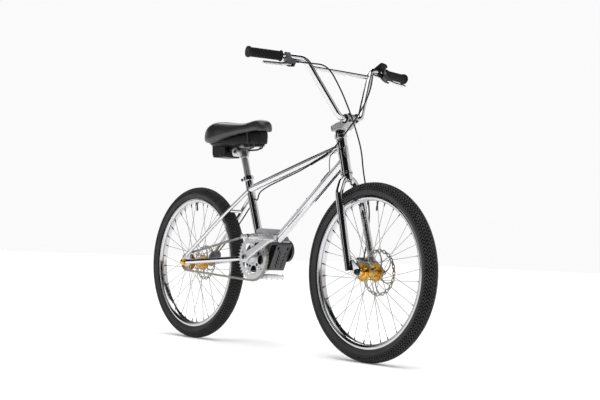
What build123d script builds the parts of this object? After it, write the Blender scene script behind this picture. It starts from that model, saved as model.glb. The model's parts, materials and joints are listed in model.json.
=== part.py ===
from build123d import *
import os
from math import acos, atan2, cos, degrees, radians, sin

# A 24 inch cruiser BMX with a motor at the bottom bracket and a case under the saddle.
# Millimetres. +X is forward, +Y the rider's left, +Z up. The origin is on the ground, midway
# between the two axles, in the bicycle's middle plane.

os.makedirs("parts", exist_ok=True)

# ---- wheels
wheelbase = 1013.0
wheel_radius = 301.0
tyre_radius = 27.0
tyre_wall = 4.0
rim_depth = 19.0
rim_half_width = 16.5
rim_wall = 2.2
spoke_radius = 0.9
spokes_per_flange = 18
cross_angle = 60.0
flange_thickness = 3.4
flange_hole_radius = 27.0
hub_flange_radius = 32.0
hub_shell_radius = 17.0
axle_radius = 5.0
nut_radius = 9.0
nut_length = 11.0

# ---- frame
head_angle = 74.2
fork_offset = 39.5
seat_angle = 69.3
bracket_x = -75.0
bracket_z = 332.0
head_tube_from = 363.0
head_tube_length = 120.0
head_tube_radius = 18.5
down_tube_radius = 17.0
top_tube_radius = 14.3
seat_tube_radius = 15.9
seat_tube_length = 321.0
chain_stay_radius = 9.5
seat_stay_radius = 7.5
bracket_shell_radius = 24.0
bracket_shell_half = 36.0
down_tube_at_head = 402.0
top_tube_at_head = 456.0
top_tube_at_seat = 273.0
tube_wall = 1.6
rear_spacing = 110.0
front_spacing = 100.0
dropout_thickness = 6.0

# ---- fork, stem and bar
steerer_radius = 14.3
fork_leg_radius = 13.0
leg_half_bottom = 58.0
leg_half_top = 50.0
cup_radius = 22.0
cup_height = 16.0
stem_height = 38.0
stem_width = 50.0
stem_reach = 57.0
bar_radius = 11.1
bar_wall = 2.0
cross_bar_radius = 8.0
cross_bar_rise = 167.0
grip_radius = 16.0
grip_length = 125.0
grip_flange_radius = 19.0

# ---- seat
post_radius = 13.6
post_inserted = 110.0
post_exposed = 108.0
rail_radius = 3.5
rail_half = 20.0

# ---- drive
crank_length = 170.0
crank_angle = 26.0
crank_arm_y = 84.0
crank_arm_thickness = 14.0
spindle_radius = 12.0
pedal_length = 100.0
pedal_width = 96.0
pedal_thickness = 22.0
pedal_axle_radius = 6.0
chain_pitch = 12.7
ring_teeth = 42
cog_teeth = 16
chain_y = -48.0
roller_radius = 3.85
plate_half_height = 4.3
ring_thickness = 2.4

# ---- brakes
front_rotor_radius = 80.0
rear_rotor_radius = 70.0
front_rotor_y = 40.0
rear_rotor_y = 41.0
rotor_thickness = 1.8
hose_radius = 2.6

# ---- clearances
weld_gap = 0.1
running = 0.05
slot_gap = 0.6
seat_gap = 0.3


def unit(vector):
    return vector.normalized()


# ---- layout, all worked out from the values above
front_axle = Vector(wheelbase / 2, 0, wheel_radius)
rear_axle_point = Vector(-wheelbase / 2, 0, wheel_radius)
bracket = Vector(bracket_x, 0, bracket_z)
steer_up = Vector(-cos(radians(head_angle)), 0, sin(radians(head_angle)))
steer_ahead = Vector(sin(radians(head_angle)), 0, cos(radians(head_angle)))
steer_foot = front_axle - steer_ahead * fork_offset
seat_up = Vector(-cos(radians(seat_angle)), 0, sin(radians(seat_angle)))
across = Vector(0, 1, 0)


def on_steering(height, ahead=0.0, side=0.0):
    return steer_foot + steer_up * height + steer_ahead * ahead + across * side


def on_seat_tube(height):
    return bracket + seat_up * height


def rod(start, end, radius, bore=0.0):
    """A round bar or tube between two points."""
    with BuildPart() as piece:
        with BuildSketch(Plane(origin=start, z_dir=end - start)):
            Circle(radius)
            if bore:
                Circle(bore, mode=Mode.SUBTRACT)
        extrude(amount=(end - start).length)
    return piece.part


def cross_rod(center, y_from, y_to, radius, bore=0.0):
    """A round bar or tube along Y."""
    start = Vector(center.X, y_from, center.Z)
    return rod(start, Vector(center.X, y_to, center.Z), radius, bore)


def bent_rod(points, bends, radius, bore=0.0):
    """A round bar or tube along straight runs joined by tangent arcs."""
    with BuildPart() as piece:
        with BuildLine() as path:
            FilletPolyline(*points, radius=bends)
        with BuildSketch(Plane(origin=path.line @ 0, z_dir=path.line % 0)):
            Circle(radius)
            if bore:
                Circle(bore, mode=Mode.SUBTRACT)
        sweep(path=path.line)
    return piece.part


def natural_bends(points, smallest=0.0):
    """Corner radii as large as the two runs beside each corner allow."""
    bends = []
    for before, corner, after in zip(points, points[1:], points[2:]):
        first = corner - before
        second = after - corner
        turn = radians(first.get_angle(second))
        shorter = min(first.length, second.length)
        bends.append(max(smallest, 0.45 * shorter * cos(turn / 2) / sin(turn / 2)))
    return bends


def mirrored(piece):
    return piece.mirror(Plane.XZ)


def side_plate(outline, y_from, y_to, corner=0.0):
    """A flat plate in the XZ plane, between two Y values."""
    with BuildPart() as piece:
        with BuildSketch(Plane.XZ.offset(-y_to)):
            with BuildLine():
                Polyline(*outline, close=True)
            make_face()
            if corner:
                fillet(vertices(), corner)
        extrude(amount=y_to - y_from)
    return piece.part


def save(builder, name):
    builder.part.label = name
    export_step(builder.part, "parts/" + name + ".step")


def gather(pieces, cuts=()):
    """One node out of finished pieces, less what cuts into them."""
    with BuildPart() as group:
        for piece in pieces:
            add(piece)
        for cut in cuts:
            add(cut, mode=Mode.SUBTRACT)
    return group


# ---- frame tubes

seat_top = on_seat_tube(seat_tube_length)
head_low = on_steering(head_tube_from)
head_high = on_steering(head_tube_from + head_tube_length)
head_core = rod(head_low, head_high, head_tube_radius + weld_gap)
seat_core = rod(bracket, seat_top, seat_tube_radius + weld_gap)
bracket_core = cross_rod(bracket, -bracket_shell_half, bracket_shell_half, bracket_shell_radius + weld_gap)

head_tube = gather([rod(head_low, head_high, head_tube_radius, steerer_radius + 2)])
save(head_tube, "head_tube")

cups = []
for low, direction in ((head_high, steer_up), (head_low, steer_up * -1)):
    lip = cup_height if direction.Z > 0 else cup_height / 2
    cups.append(rod(low, low + direction * lip, cup_radius, steerer_radius + running))
headset_cups = gather(cups)
save(headset_cups, "headset_cups")

bb_shell = gather([cross_rod(bracket, -bracket_shell_half, bracket_shell_half,
                             bracket_shell_radius, spindle_radius + running)])
save(bb_shell, "bb_shell")

seat_tube = gather([rod(bracket, seat_top, seat_tube_radius)],
                   [bracket_core,
                    rod(on_seat_tube(bracket_shell_radius), seat_top, post_radius + running)])
save(seat_tube, "seat_tube")

top_tube_start = on_seat_tube(top_tube_at_seat)
top_tube_end = on_steering(top_tube_at_head)
top_tube_core = rod(top_tube_start, top_tube_end, top_tube_radius + weld_gap)
top_tube = gather([rod(top_tube_start, top_tube_end, top_tube_radius, top_tube_radius - tube_wall)],
                  [head_core, seat_core])
save(top_tube, "top_tube")

# ---- motor round the bottom bracket

motor_left = 58.0
motor_right = -43.2
gear_case_radius = 55.0
gear_case_inner = -41.6
end_cover_radius = 42.0
end_cover_thickness = 13.0
motor_front_top = (24.0, 389.0)
motor_front_low = (-24.0, 287.0)
cover_thickness = 5.0
shell_base = 389.0
bracket_clear = cross_rod(bracket, -80, 80, bracket_shell_radius + seat_gap)

housing_outline = [motor_front_top, motor_front_low, (-82, 287), (-98, 306), (-62, 332), (-62, shell_base)]
shell_outline = [motor_front_top, (-62, shell_base), (-78, 430), (-62, 441), (-26, 438), (-4, 422)]
gear_case = cross_rod(bracket, motor_right, gear_case_inner, gear_case_radius, spindle_radius + seat_gap)
motor_housing = gather([side_plate(housing_outline, motor_right, motor_left, 5.0)], [bracket_clear])
motor_housing = gather([motor_housing.part, gear_case])
save(motor_housing, "motor_housing")

shell_solid = side_plate([(x, z + weld_gap) for x, z in shell_outline], motor_right + 6, motor_left - 8, 5.0)
down_tube_start = bracket
down_tube_end = on_steering(down_tube_at_head)
down_core = rod(down_tube_start, down_tube_end, down_tube_radius + weld_gap)
motor_top_shell = gather([shell_solid], [down_core])
save(motor_top_shell, "motor_top_shell")
down_clip = side_plate([(-130, 250), (-130, 360), (-20, 405), (60, 360), (60, 250)], -60, 60)
down_tube = gather([rod(down_tube_start, down_tube_end, down_tube_radius, down_tube_radius - tube_wall)],
                   [head_core, top_tube_core, down_clip, motor_housing.part])
save(down_tube, "down_tube")

front_slope = Vector(motor_front_top[0] - motor_front_low[0], 0, motor_front_top[1] - motor_front_low[1])
front_up = unit(front_slope)
front_out = Vector(front_up.Z, 0, -front_up.X)
cover_middle = Vector(motor_front_low[0], 0, motor_front_low[1]) + front_slope * 0.5
cover_middle = cover_middle + across * ((motor_left + motor_right) / 2) + front_out * weld_gap
cover_plane = Plane(origin=cover_middle, x_dir=across, z_dir=front_out)
cover_width = motor_left - motor_right - 10
cover_height = front_slope.length - 12
with BuildPart() as motor_cover:
    with BuildSketch(cover_plane):
        RectangleRounded(cover_width, cover_height, 10)
    extrude(amount=cover_thickness)
    for row in range(5):
        with BuildSketch(cover_plane.offset(cover_thickness)):
            for side in (-1, 1):
                with Locations(Location((side * 17, 24 - row * 13, 0), (0, 0, side * 22))):
                    SlotOverall(24, 4)
        extrude(amount=-2.5, mode=Mode.SUBTRACT)
    with BuildSketch(cover_plane.offset(cover_thickness)):
        with Locations((-36, 42), (36, 42)):
            SlotOverall(12, 7)
    extrude(amount=-3, mode=Mode.SUBTRACT)
save(motor_cover, "motor_cover")

end_cover_center = Vector(-19, 0, 360)
with BuildPart() as motor_end_cover:
    with BuildSketch(Plane.XZ.offset(-motor_left - weld_gap)):
        with Locations((end_cover_center.X, end_cover_center.Z)):
            Circle(end_cover_radius)
    extrude(amount=-end_cover_thickness)
    chamfer(edges().filter_by(GeomType.CIRCLE).sort_by(Axis.Y)[-1], 3)
save(motor_end_cover, "motor_end_cover")

# ---- stays and rear dropouts

axle_y = rear_spacing / 2
dropout_out = axle_y + dropout_thickness
stay_end_x = rear_axle_point.X + 20
stay_end_y = -dropout_out - 1
chain_stay_points = [Vector(stay_end_x, stay_end_y + 0.5, wheel_radius + 1),
                     Vector(-170, -36, 325),
                     Vector(bracket_x - 12, -24, bracket_z)]
seat_stay_points = [Vector(stay_end_x, stay_end_y - 1.5, wheel_radius + 29),
                    Vector(-306, -40, 473),
                    Vector(-168, -13, 581)]
chain_stay = bent_rod(chain_stay_points, 120, chain_stay_radius)
seat_stay = bent_rod(seat_stay_points, 120, seat_stay_radius)
chain_stays = gather([chain_stay, mirrored(chain_stay)], [bracket_core])
save(chain_stays, "chain_stays")

bare_seat_stays = gather([seat_stay, mirrored(seat_stay)], [seat_core, top_tube_core])
bridge_at = seat_stay_points[1] + (seat_stay_points[2] - seat_stay_points[1]) * 0.3
bridge = cross_rod(bridge_at, bridge_at.Y, -bridge_at.Y, 6.5)
seat_stays = gather([bare_seat_stays.part, bridge])
save(seat_stays, "seat_stays")

ax, az = rear_axle_point.X, rear_axle_point.Z
dropout_outline = [(ax - 24, az - 13), (ax + 32, az - 12), (ax + 36, az + 10), (ax + 40, az + 44),
                   (ax + 22, az + 50), (ax - 6, az + 18), (ax - 24, az + 13)]
dropout_left = side_plate(dropout_outline, axle_y, dropout_out, 6)
slot_cut = gather([side_plate([(ax - 60, az - axle_radius - 0.1), (ax, az - axle_radius - 0.1),
                               (ax, az + axle_radius + 0.1), (ax - 60, az + axle_radius + 0.1)],
                              axle_y - 1, dropout_out + 1),
                   cross_rod(rear_axle_point, axle_y - 1, dropout_out + 1, axle_radius + 0.1)])
dropout_right = mirrored(dropout_left)
rear_dropouts = gather([dropout_left, dropout_right],
                       [slot_cut.part, mirrored(slot_cut.part), chain_stays.part, seat_stays.part])
save(rear_dropouts, "rear_dropouts")

boss_radius = 5.5
boss_height = 4.0
boss_bore = 2.5
boss_gap = 64.0
down_axis = unit(down_tube_end - down_tube_start)
down_up = Vector(-down_axis.Z, 0, down_axis.X)
boss_middle = down_tube_start + down_axis * 292
bosses = []
for side in (-0.5, 0.5):
    foot = boss_middle + down_axis * (side * boss_gap) + down_up * (down_tube_radius - 1)
    bosses.append(rod(foot, foot + down_up * (boss_height + 1), boss_radius, boss_bore))
bottle_bosses = gather(bosses, [down_core])
save(bottle_bosses, "bottle_bosses")

collar_height = 16.0
collar_low = seat_top - seat_up * (collar_height - 3)
collar_ear = rod(seat_top + Vector(-22, -9, -8), seat_top + Vector(-22, 9, -8), 6)
collar_body = rod(collar_low, collar_low + seat_up * collar_height, seat_tube_radius + 5)
seat_collar = gather([collar_body, collar_ear],
                     [rod(collar_low, collar_low + seat_up * (collar_height - 3),
                          seat_tube_radius + weld_gap),
                      rod(collar_low, collar_low + seat_up * collar_height, post_radius + seat_gap),
                      top_tube_core, seat_stays.part])
save(seat_collar, "seat_collar")

# ---- fork

crown_height = head_tube_from - cup_height / 2 - 1
leg_points = [on_steering(12, 0, leg_half_bottom), on_steering(283, 0, leg_half_top),
              on_steering(327, 0, 26), on_steering(crown_height - 8, 0, 0)]
leg = bent_rod(leg_points, [34, 34], fork_leg_radius)
steerer_top = head_tube_from + head_tube_length + cup_height + stem_height
steerer = rod(on_steering(crown_height - 22), on_steering(steerer_top), steerer_radius)
crown_block = rod(on_steering(crown_height - 22), on_steering(crown_height), cup_radius - 3)
fork = gather([leg, mirrored(leg), steerer, crown_block])
save(fork, "fork")

race_gap = 0.4
crown_race = gather([rod(on_steering(crown_height), on_steering(crown_height + 1 - race_gap),
                         cup_radius - 1, steerer_radius + running)])
save(crown_race, "crown_race")

fx, fz = front_axle.X, front_axle.Z
front_y = front_spacing / 2
leg_x = steer_foot.X
tip_outline = [(leg_x - 6, fz + 34), (leg_x + 8, fz + 40), (fx + 4, fz + 15), (fx + 15, fz),
               (fx + 4, fz - 14), (leg_x + 6, fz - 14)]
tip = side_plate(tip_outline, front_y, front_y + dropout_thickness, 5)
front_slot = gather([cross_rod(front_axle, 0, 90, axle_radius + 0.1),
                     side_plate([(fx - axle_radius - 0.1, fz - 40), (fx + axle_radius + 0.1, fz - 40),
                                 (fx + axle_radius + 0.1, fz), (fx - axle_radius - 0.1, fz)], 0, 90)])
caliper_back = fx - 98
disc_tab = side_plate([(caliper_back + 8, fz + 12), (leg_x, fz + 10), (leg_x, fz + 46),
                       (caliper_back + 8, fz + 44)],
                      leg_half_bottom - 2, leg_half_bottom + 3)
fork_dropouts = gather([tip, mirrored(tip), disc_tab],
                       [fork.part, front_slot.part, mirrored(front_slot.part)])
fork_dropouts = gather(fork_dropouts.part.solids().sort_by(SortBy.VOLUME)[-3:])
save(fork_dropouts, "fork_dropouts")

# ---- stem and bar

stem_low = head_tube_from + head_tube_length + cup_height
bar_height = stem_low + stem_height - 2
bar_center = on_steering(bar_height, stem_reach)
stem_plane = Plane(origin=on_steering(0, 0, stem_width / 2), x_dir=steer_ahead, z_dir=Vector(0, -1, 0))
split_ahead = stem_reach + 0.6
with BuildPart() as stem_block:
    with BuildSketch(stem_plane):
        with BuildLine():
            Polyline((-22, stem_low), (24, stem_low), (stem_reach + 12, bar_height - 18),
                     (stem_reach + 19, bar_height - 6), (stem_reach + 19, bar_height + 8),
                     (stem_reach + 10, bar_height + 18), (20, stem_low + stem_height),
                     (-22, stem_low + stem_height), close=True)
        make_face()
        fillet(vertices(), 4)
    extrude(amount=stem_width)
stem_whole = stem_block.part
bar_clear = cross_rod(bar_center, -60, 60, bar_radius + running)
steerer_clear = rod(on_steering(stem_low - 10), on_steering(steerer_top + 30), steerer_radius + running)
face_zone = rod(on_steering(bar_height, split_ahead), on_steering(bar_height, split_ahead + 60), 80)
stem = gather([stem_whole], [bar_clear, steerer_clear, face_zone])
save(stem, "stem")
face_back = rod(on_steering(bar_height, -60), on_steering(bar_height, split_ahead + 0.4), 90)
stem_face_plate = gather([stem_whole], [bar_clear, face_back])
bolt_head_radius = 4.6
stem_bolts_list = []
for side in (-1, 1):
    for rise in (-1, 1):
        head_at = on_steering(bar_height + rise * 12, stem_reach + 20, side * 17)
        stem_bolts_list.append(rod(head_at, head_at - steer_ahead * 2.5, bolt_head_radius))
cap_at = on_steering(stem_low + stem_height)
top_cap = rod(cap_at + steer_up * weld_gap, cap_at + steer_up * 5, steerer_radius + 3)
face_plate = gather([stem_face_plate.part], stem_bolts_list)
save(face_plate, "stem_face_plate")
stem_bolts = gather(stem_bolts_list + [top_cap])
save(stem_bolts, "stem_bolts")

bar_points = [(0, 46, 0), (-69, 152, 195), (-115, 365, 196)]
left_run = [bar_center + Vector(*point) for point in bar_points]
right_run = [Vector(point.X, -point.Y, point.Z) for point in reversed(left_run)]
bar_path = right_run + left_run
bar_bends = [42, 32, 32, 42]
bar_leg = left_run[1] - left_run[0]
cross_at = left_run[0] + bar_leg * (cross_bar_rise / bar_leg.Z)
cross_bar = cross_rod(cross_at, -cross_at.Y, cross_at.Y, cross_bar_radius)
handlebar = gather([bent_rod(bar_path, bar_bends, bar_radius), cross_bar],
                   [bent_rod(bar_path, bar_bends, bar_radius - bar_wall)])
save(handlebar, "handlebar")

grip_out = unit(left_run[2] - left_run[1])
grip_end = left_run[2] + grip_out * 2
grip_start = left_run[2] - grip_out * grip_length
grip = gather([rod(grip_start, grip_end, grip_radius),
               rod(left_run[2] - grip_out * 3, grip_end, grip_flange_radius),
               rod(grip_start, grip_start + grip_out * 3, grip_flange_radius)],
              [rod(grip_start, left_run[2], bar_radius + weld_gap)])
grips = gather([grip.part, mirrored(grip.part)])
save(grips, "grips")

# ---- brake levers, built on the rider's right and mirrored

lever_drop = 45.0
lever_inset = grip_length + 22
outward = Vector(grip_out.X, -grip_out.Y, grip_out.Z)
flat_ahead = unit(Vector(-outward.Y, outward.X, 0))
lever_ahead = flat_ahead * cos(radians(lever_drop)) - Vector(0, 0, 1) * sin(radians(lever_drop))
lever_up = unit(outward.cross(lever_ahead))
lever_ahead = unit(lever_up.cross(outward))
right_tip = Vector(left_run[2].X, -left_run[2].Y, left_run[2].Z)
lever_origin = right_tip - outward * lever_inset
lever_plane = Plane(origin=lever_origin, x_dir=outward, z_dir=lever_up)
pivot_x, pivot_y = 4.0, 36.0
pin_radius = 2.5
ear_half = 8.0
lever_half = 3.0
clamp_radius = 16.5


def lever_point(along, ahead, up=0.0):
    return lever_origin + outward * along + lever_ahead * ahead + lever_up * up


with BuildPart() as lever_block:
    with BuildSketch(lever_plane.offset(-ear_half)):
        with BuildLine():
            Polyline((-9, 10), (9, 10), (12, 24), (14, 40), (6, 46), (-18, 42), (-24, 26), close=True)
        make_face()
        fillet(vertices(), 3)
    extrude(amount=2 * ear_half)
    with BuildSketch(lever_plane.offset(-lever_half - slot_gap / 2)):
        with Locations((20, 40)):
            Rectangle(62, 32)
    extrude(amount=2 * lever_half + slot_gap, mode=Mode.SUBTRACT)
lever_clamp = rod(lever_point(-7, 0), lever_point(7, 0), clamp_radius)
master = rod(lever_point(-26, 21.5), lever_point(8, 21.5), 6)
lever_pin = rod(lever_point(pivot_x, pivot_y, -ear_half), lever_point(pivot_x, pivot_y, ear_half),
                pin_radius)
hose_stub = rod(lever_point(-38, 21.5), lever_point(-26, 21.5), 4)
bar_hole = rod(lever_point(-20, 0), lever_point(20, 0), bar_radius + running)
lever_body = gather([lever_block.part, lever_clamp, master, lever_pin, hose_stub], [bar_hole])
lever_bodies = gather([lever_body.part, mirrored(lever_body.part)])
save(lever_bodies, "lever_bodies")

with BuildPart() as blade_right:
    with BuildSketch(lever_plane.offset(-lever_half)):
        with BuildLine():
            Polyline((-6, 29), (10, 30), (36, 41), (104, 44), (108, 48), (104, 53), (34, 50), (10, 44),
                     (-4, 43), close=True)
        make_face()
        fillet(vertices(), 2.5)
    extrude(amount=2 * lever_half)
    with BuildSketch(lever_plane.offset(-lever_half)):
        with Locations((pivot_x, pivot_y)):
            Circle(pin_radius + running)
    extrude(amount=2 * lever_half, mode=Mode.SUBTRACT)
save(blade_right, "lever_blade_right")
blade_left = gather([mirrored(blade_right.part)])
save(blade_left, "lever_blade_left")

# ---- throttle and display, on the rider's left


def bar_point(inset, ahead=0.0, up=0.0):
    """A point beside the left end of the bar, inset from its tip."""
    left_ahead = Vector(lever_ahead.X, -lever_ahead.Y, lever_ahead.Z)
    left_up = Vector(lever_up.X, -lever_up.Y, lever_up.Z)
    return left_run[2] - grip_out * inset + left_ahead * ahead + left_up * up


throttle_inset = grip_length + 2
throttle_housing = rod(bar_point(throttle_inset + 7.5), bar_point(throttle_inset), 17.5,
                       bar_radius + running)
throttle_boss = rod(bar_point(throttle_inset + 5, -20, -17), bar_point(throttle_inset + 5, -20, -6), 6)
throttle_pin = rod(bar_point(throttle_inset + 5, -20, -21), bar_point(throttle_inset + 5, -20, -17), 2.5)
throttle_body = gather([throttle_housing, throttle_boss, throttle_pin],
                       [rod(bar_point(throttle_inset + 20), bar_point(throttle_inset - 10),
                            bar_radius + running)])
save(throttle_body, "throttle_body")
paddle_low = bar_point(throttle_inset + 5, -20, -21)
paddle_high = bar_point(throttle_inset + 5, -20, -17.3)
paddle_hub = rod(paddle_low, paddle_high, 6)
paddle_arm = rod(bar_point(throttle_inset + 7, -24, -19.15), bar_point(throttle_inset + 30, -34, -19.15),
                 1.8)
paddle_tip = rod(bar_point(throttle_inset + 24, -34, -19.15), bar_point(throttle_inset + 38, -37, -19.15), 4)
throttle_paddle = gather([paddle_hub, paddle_arm, paddle_tip], [rod(paddle_low, paddle_high, 2.5 + running)])
save(throttle_paddle, "throttle_paddle")

display_inset = grip_length + 51
display_plane = Plane(origin=bar_point(display_inset, 4, bar_radius + 6), x_dir=grip_out,
                      z_dir=unit(Vector(-0.55, 0, 0.83)))
with BuildPart() as display_case:
    with BuildSketch(display_plane):
        RectangleRounded(34, 46, 5)
    extrude(amount=11)
display_ring = rod(bar_point(display_inset + 5), bar_point(display_inset - 5), 14.5)
display = gather([display_case.part, display_ring],
                 [rod(bar_point(display_inset + 30), bar_point(display_inset - 30), bar_radius + running)])
save(display, "display")

# ---- wheels


def wheel_plane(center):
    """Local x runs along the axle and local y away from it, upward."""
    return Plane(origin=center, x_dir=(0, 1, 0), z_dir=(1, 0, 0))


def turned(center, outline):
    """A solid of revolution about a wheel's axle: outline points are (along the axle, radius)."""
    with BuildPart() as piece:
        with BuildSketch(wheel_plane(center)):
            with BuildLine():
                Polyline(*outline, close=True)
            make_face()
        revolve(axis=Axis(center, (0, 1, 0)))
    return piece.part


tyre_middle = wheel_radius - tyre_radius
bead_radius = tyre_middle - 17.0


def tyre(center):
    with BuildPart() as piece:
        with BuildSketch(wheel_plane(center)):
            with Locations((0, tyre_middle)):
                Circle(tyre_radius)
                Circle(tyre_radius - tyre_wall, mode=Mode.SUBTRACT)
            with Locations((0, bead_radius - 20)):
                Rectangle(4 * tyre_radius, 40, mode=Mode.SUBTRACT)
        revolve(axis=Axis(center, (0, 1, 0)))
    return piece


def rim(center):
    top = bead_radius - weld_gap
    low = top - rim_depth
    half = rim_half_width
    outline = [(-half, top), (-half + rim_wall, top), (-half + rim_wall + 1, top - 7),
               (half - rim_wall - 1, top - 7),
               (half - rim_wall, top), (half, top), (half, top - 9), (7, low), (-7, low), (-half, top - 9)]
    return gather([turned(center, outline)])


def spokes(center, flanges):
    rim_low = bead_radius - weld_gap - rim_depth
    step = 360.0 / spokes_per_flange
    pieces = []
    for side, flange_y in flanges:
        for number in range(spokes_per_flange):
            lead = 1 if number % 2 else -1
            hub_angle = radians(number * step + (step / 4 if side > 0 else -step / 4))
            rim_angle = hub_angle + radians(lead * cross_angle)
            start = center + Vector(flange_hole_radius * cos(hub_angle), flange_y + lead * 2.3,
                                    flange_hole_radius * sin(hub_angle))
            end = center + Vector((rim_low + 1) * cos(rim_angle), side * 2.5, (rim_low + 1) * sin(rim_angle))
            pieces.append(rod(start, end, spoke_radius))
    return gather(pieces)


def hub(center, flanges, ends, rotor_side):
    """A large flange hub; ends are the Y values of its two faces."""
    low_y, high_y = flanges[1][1], flanges[0][1]
    half = flange_thickness / 2
    shell = cross_rod(center, low_y - half, high_y + half, hub_shell_radius)
    plates = [cross_rod(center, y - half, y + half, hub_flange_radius) for side, y in flanges]
    cones = [cross_rod(center, ends[0], low_y, 13), cross_rod(center, high_y, ends[1], 13)]
    carrier = cross_rod(center, high_y, rotor_side - rotor_thickness / 2 - weld_gap, 21)
    bore = cross_rod(center, -90, 90, axle_radius + running)
    return gather([shell, carrier] + plates + cones, [bore])


def rotor(center, radius, y_middle):
    y_low = y_middle - rotor_thickness / 2
    inner_edge = radius - 14
    with BuildPart() as piece:
        with BuildSketch(Plane.XZ.offset(-y_low - rotor_thickness)):
            with Locations((center.X, center.Z)):
                Circle(radius)
                Circle(inner_edge, mode=Mode.SUBTRACT)
                Circle(24)
                with PolarLocations((inner_edge + 24) / 2, 6):
                    Rectangle(inner_edge - 20, 7, rotation=18)
                Circle(14, mode=Mode.SUBTRACT)
                with PolarLocations(radius - 7, 30):
                    Circle(2.6, mode=Mode.SUBTRACT)
        extrude(amount=rotor_thickness)
    return piece


def valve(center, angle):
    rim_low = bead_radius - weld_gap - rim_depth
    direction = Vector(cos(radians(angle)), 0, sin(radians(angle)))
    top = center + direction * (rim_low - weld_gap)
    return gather([rod(top, top - direction * 30, 3), rod(top - direction * 16, top - direction * 34, 4)])


def axle(center, half, spacing, thickness):
    nuts = []
    for side in (-1, 1):
        inner = side * (spacing / 2 + thickness + weld_gap)
        outer = inner + side * nut_length
        nuts.append(cross_rod(center, min(inner, outer), max(inner, outer), nut_radius + 3))
    return gather([cross_rod(center, -half, half, axle_radius)] + nuts)


front_flanges = [(1, 26.0), (-1, -30.0)]
rear_flanges = [(1, 28.0), (-1, -30.0)]
hub_gap = 0.5
front_ends = (-front_y + hub_gap, front_y - hub_gap)
rear_ends = (chain_y + 10.0, axle_y - hub_gap)
wheels = (
    ("front", front_axle, front_flanges, front_ends, front_rotor_y, front_rotor_radius, 84.0),
    ("rear", rear_axle_point, rear_flanges, rear_ends, rear_rotor_y, rear_rotor_radius, 94.0),
)
for name, center, flanges, ends, rotor_side, rotor_radius, valve_angle in wheels:
    save(tyre(center), name + "_tyre")
    save(rim(center), name + "_rim")
    save(spokes(center, flanges), name + "_spokes")
    hub_part = hub(center, flanges, ends, rotor_side)
    save(hub_part, name + "_hub")
    disc = rotor(center, rotor_radius, rotor_side)
    disc = gather([disc.part], [cross_rod(center, -90, 90, 13 + seat_gap)])
    save(disc, name + "_rotor")
    save(valve(center, valve_angle), name + "_valve")

save(axle(front_axle, 66, front_spacing, dropout_thickness), "front_axle")
save(axle(rear_axle_point, 78, rear_spacing, dropout_thickness), "rear_axle")

# ---- calipers


def caliper(outline, y_from, y_to, disc_y, disc_center, disc_radius, cuts):
    body = side_plate(outline, y_from, y_to, 5)
    gap = rotor_thickness / 2 + slot_gap
    disc_slot = cross_rod(disc_center, disc_y - gap, disc_y + gap, disc_radius + 2)
    return gather([body], [disc_slot] + cuts)


front_caliper_outline = [(fx - 98, fz + 8), (fx - 69, fz + 8), (fx - 70, fz + 48), (fx - 98, fz + 48)]
front_caliper = caliper(front_caliper_outline, front_rotor_y - 13, leg_half_bottom - 2 - weld_gap,
                        front_rotor_y, front_axle, front_rotor_radius, [fork.part])
save(front_caliper, "front_caliper")

rear_caliper_outline = [(ax + 40, az + 12), (ax + 82, az + 16), (ax + 82, az + 40), (ax + 66, az + 50),
                        (ax + 40, az + 30)]
stay_clear = mirrored(bent_rod(chain_stay_points, 120, chain_stay_radius + weld_gap))
seat_stay_clear = mirrored(bent_rod(seat_stay_points, 120, seat_stay_radius + weld_gap))
rear_caliper = caliper(rear_caliper_outline, rear_rotor_y - 13, rear_rotor_y + 16, rear_rotor_y,
                       rear_axle_point, rear_rotor_radius, [stay_clear, seat_stay_clear, rear_dropouts.part])
save(rear_caliper, "rear_caliper")

# ---- drive: chainring, cog, chain, cranks and pedals

ring_pitch_radius = chain_pitch / (2 * sin(radians(180 / ring_teeth)))
cog_pitch_radius = chain_pitch / (2 * sin(radians(180 / cog_teeth)))
to_cog = unit(rear_axle_point - bracket)
cog_direction = degrees(atan2(to_cog.Z, to_cog.X))


def toothed_disc(center, teeth, pitch_radius, valley_angle, y_middle, thickness):
    """Teeth stand midway between the valleys that hold the rollers."""
    root = pitch_radius - roller_radius - 0.45
    tip = pitch_radius + 3.6
    with BuildPart() as piece:
        with BuildSketch(Plane.XZ.offset(-y_middle - thickness / 2)):
            with Locations((center.X, center.Z)):
                Circle(root)
            for number in range(teeth):
                angle = radians(valley_angle + (number + 0.5) * 360 / teeth)
                along = Vector(cos(angle), sin(angle))
                aside = Vector(-sin(angle), cos(angle))
                middle = Vector(center.X, center.Z)
                corners = [(root - 2, -2.7), (pitch_radius - 1.5, -2.25), (pitch_radius + 1, -1.9),
                           (tip, -0.8), (tip, 0.8), (pitch_radius + 1, 1.9),
                           (pitch_radius - 1.5, 2.25), (root - 2, 2.7)]
                with BuildLine():
                    Polyline(*[middle + along * r + aside * w for r, w in corners], close=True)
                make_face()
        extrude(amount=thickness)
    return piece.part


ring_blank = toothed_disc(bracket, ring_teeth, ring_pitch_radius, cog_direction + 180, chain_y,
                          ring_thickness)
arm_inner = crank_arm_y - crank_arm_thickness / 2
with BuildPart() as ring_holes:
    with BuildSketch(Plane.XZ.offset(-chain_y - 10)):
        with Locations((bracket.X, bracket.Z)):
            with PolarLocations(50, 5, start_angle=crank_angle + 36):
                Circle(19)
            with PolarLocations(63, 5, start_angle=crank_angle):
                Circle(8)
    extrude(amount=20)
ring_boss = cross_rod(bracket, -arm_inner + weld_gap, chain_y, 25)
chainring = gather([ring_blank, ring_boss],
                   [ring_holes.part, cross_rod(bracket, -90, 0, spindle_radius + weld_gap)])
save(chainring, "chainring")

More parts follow.
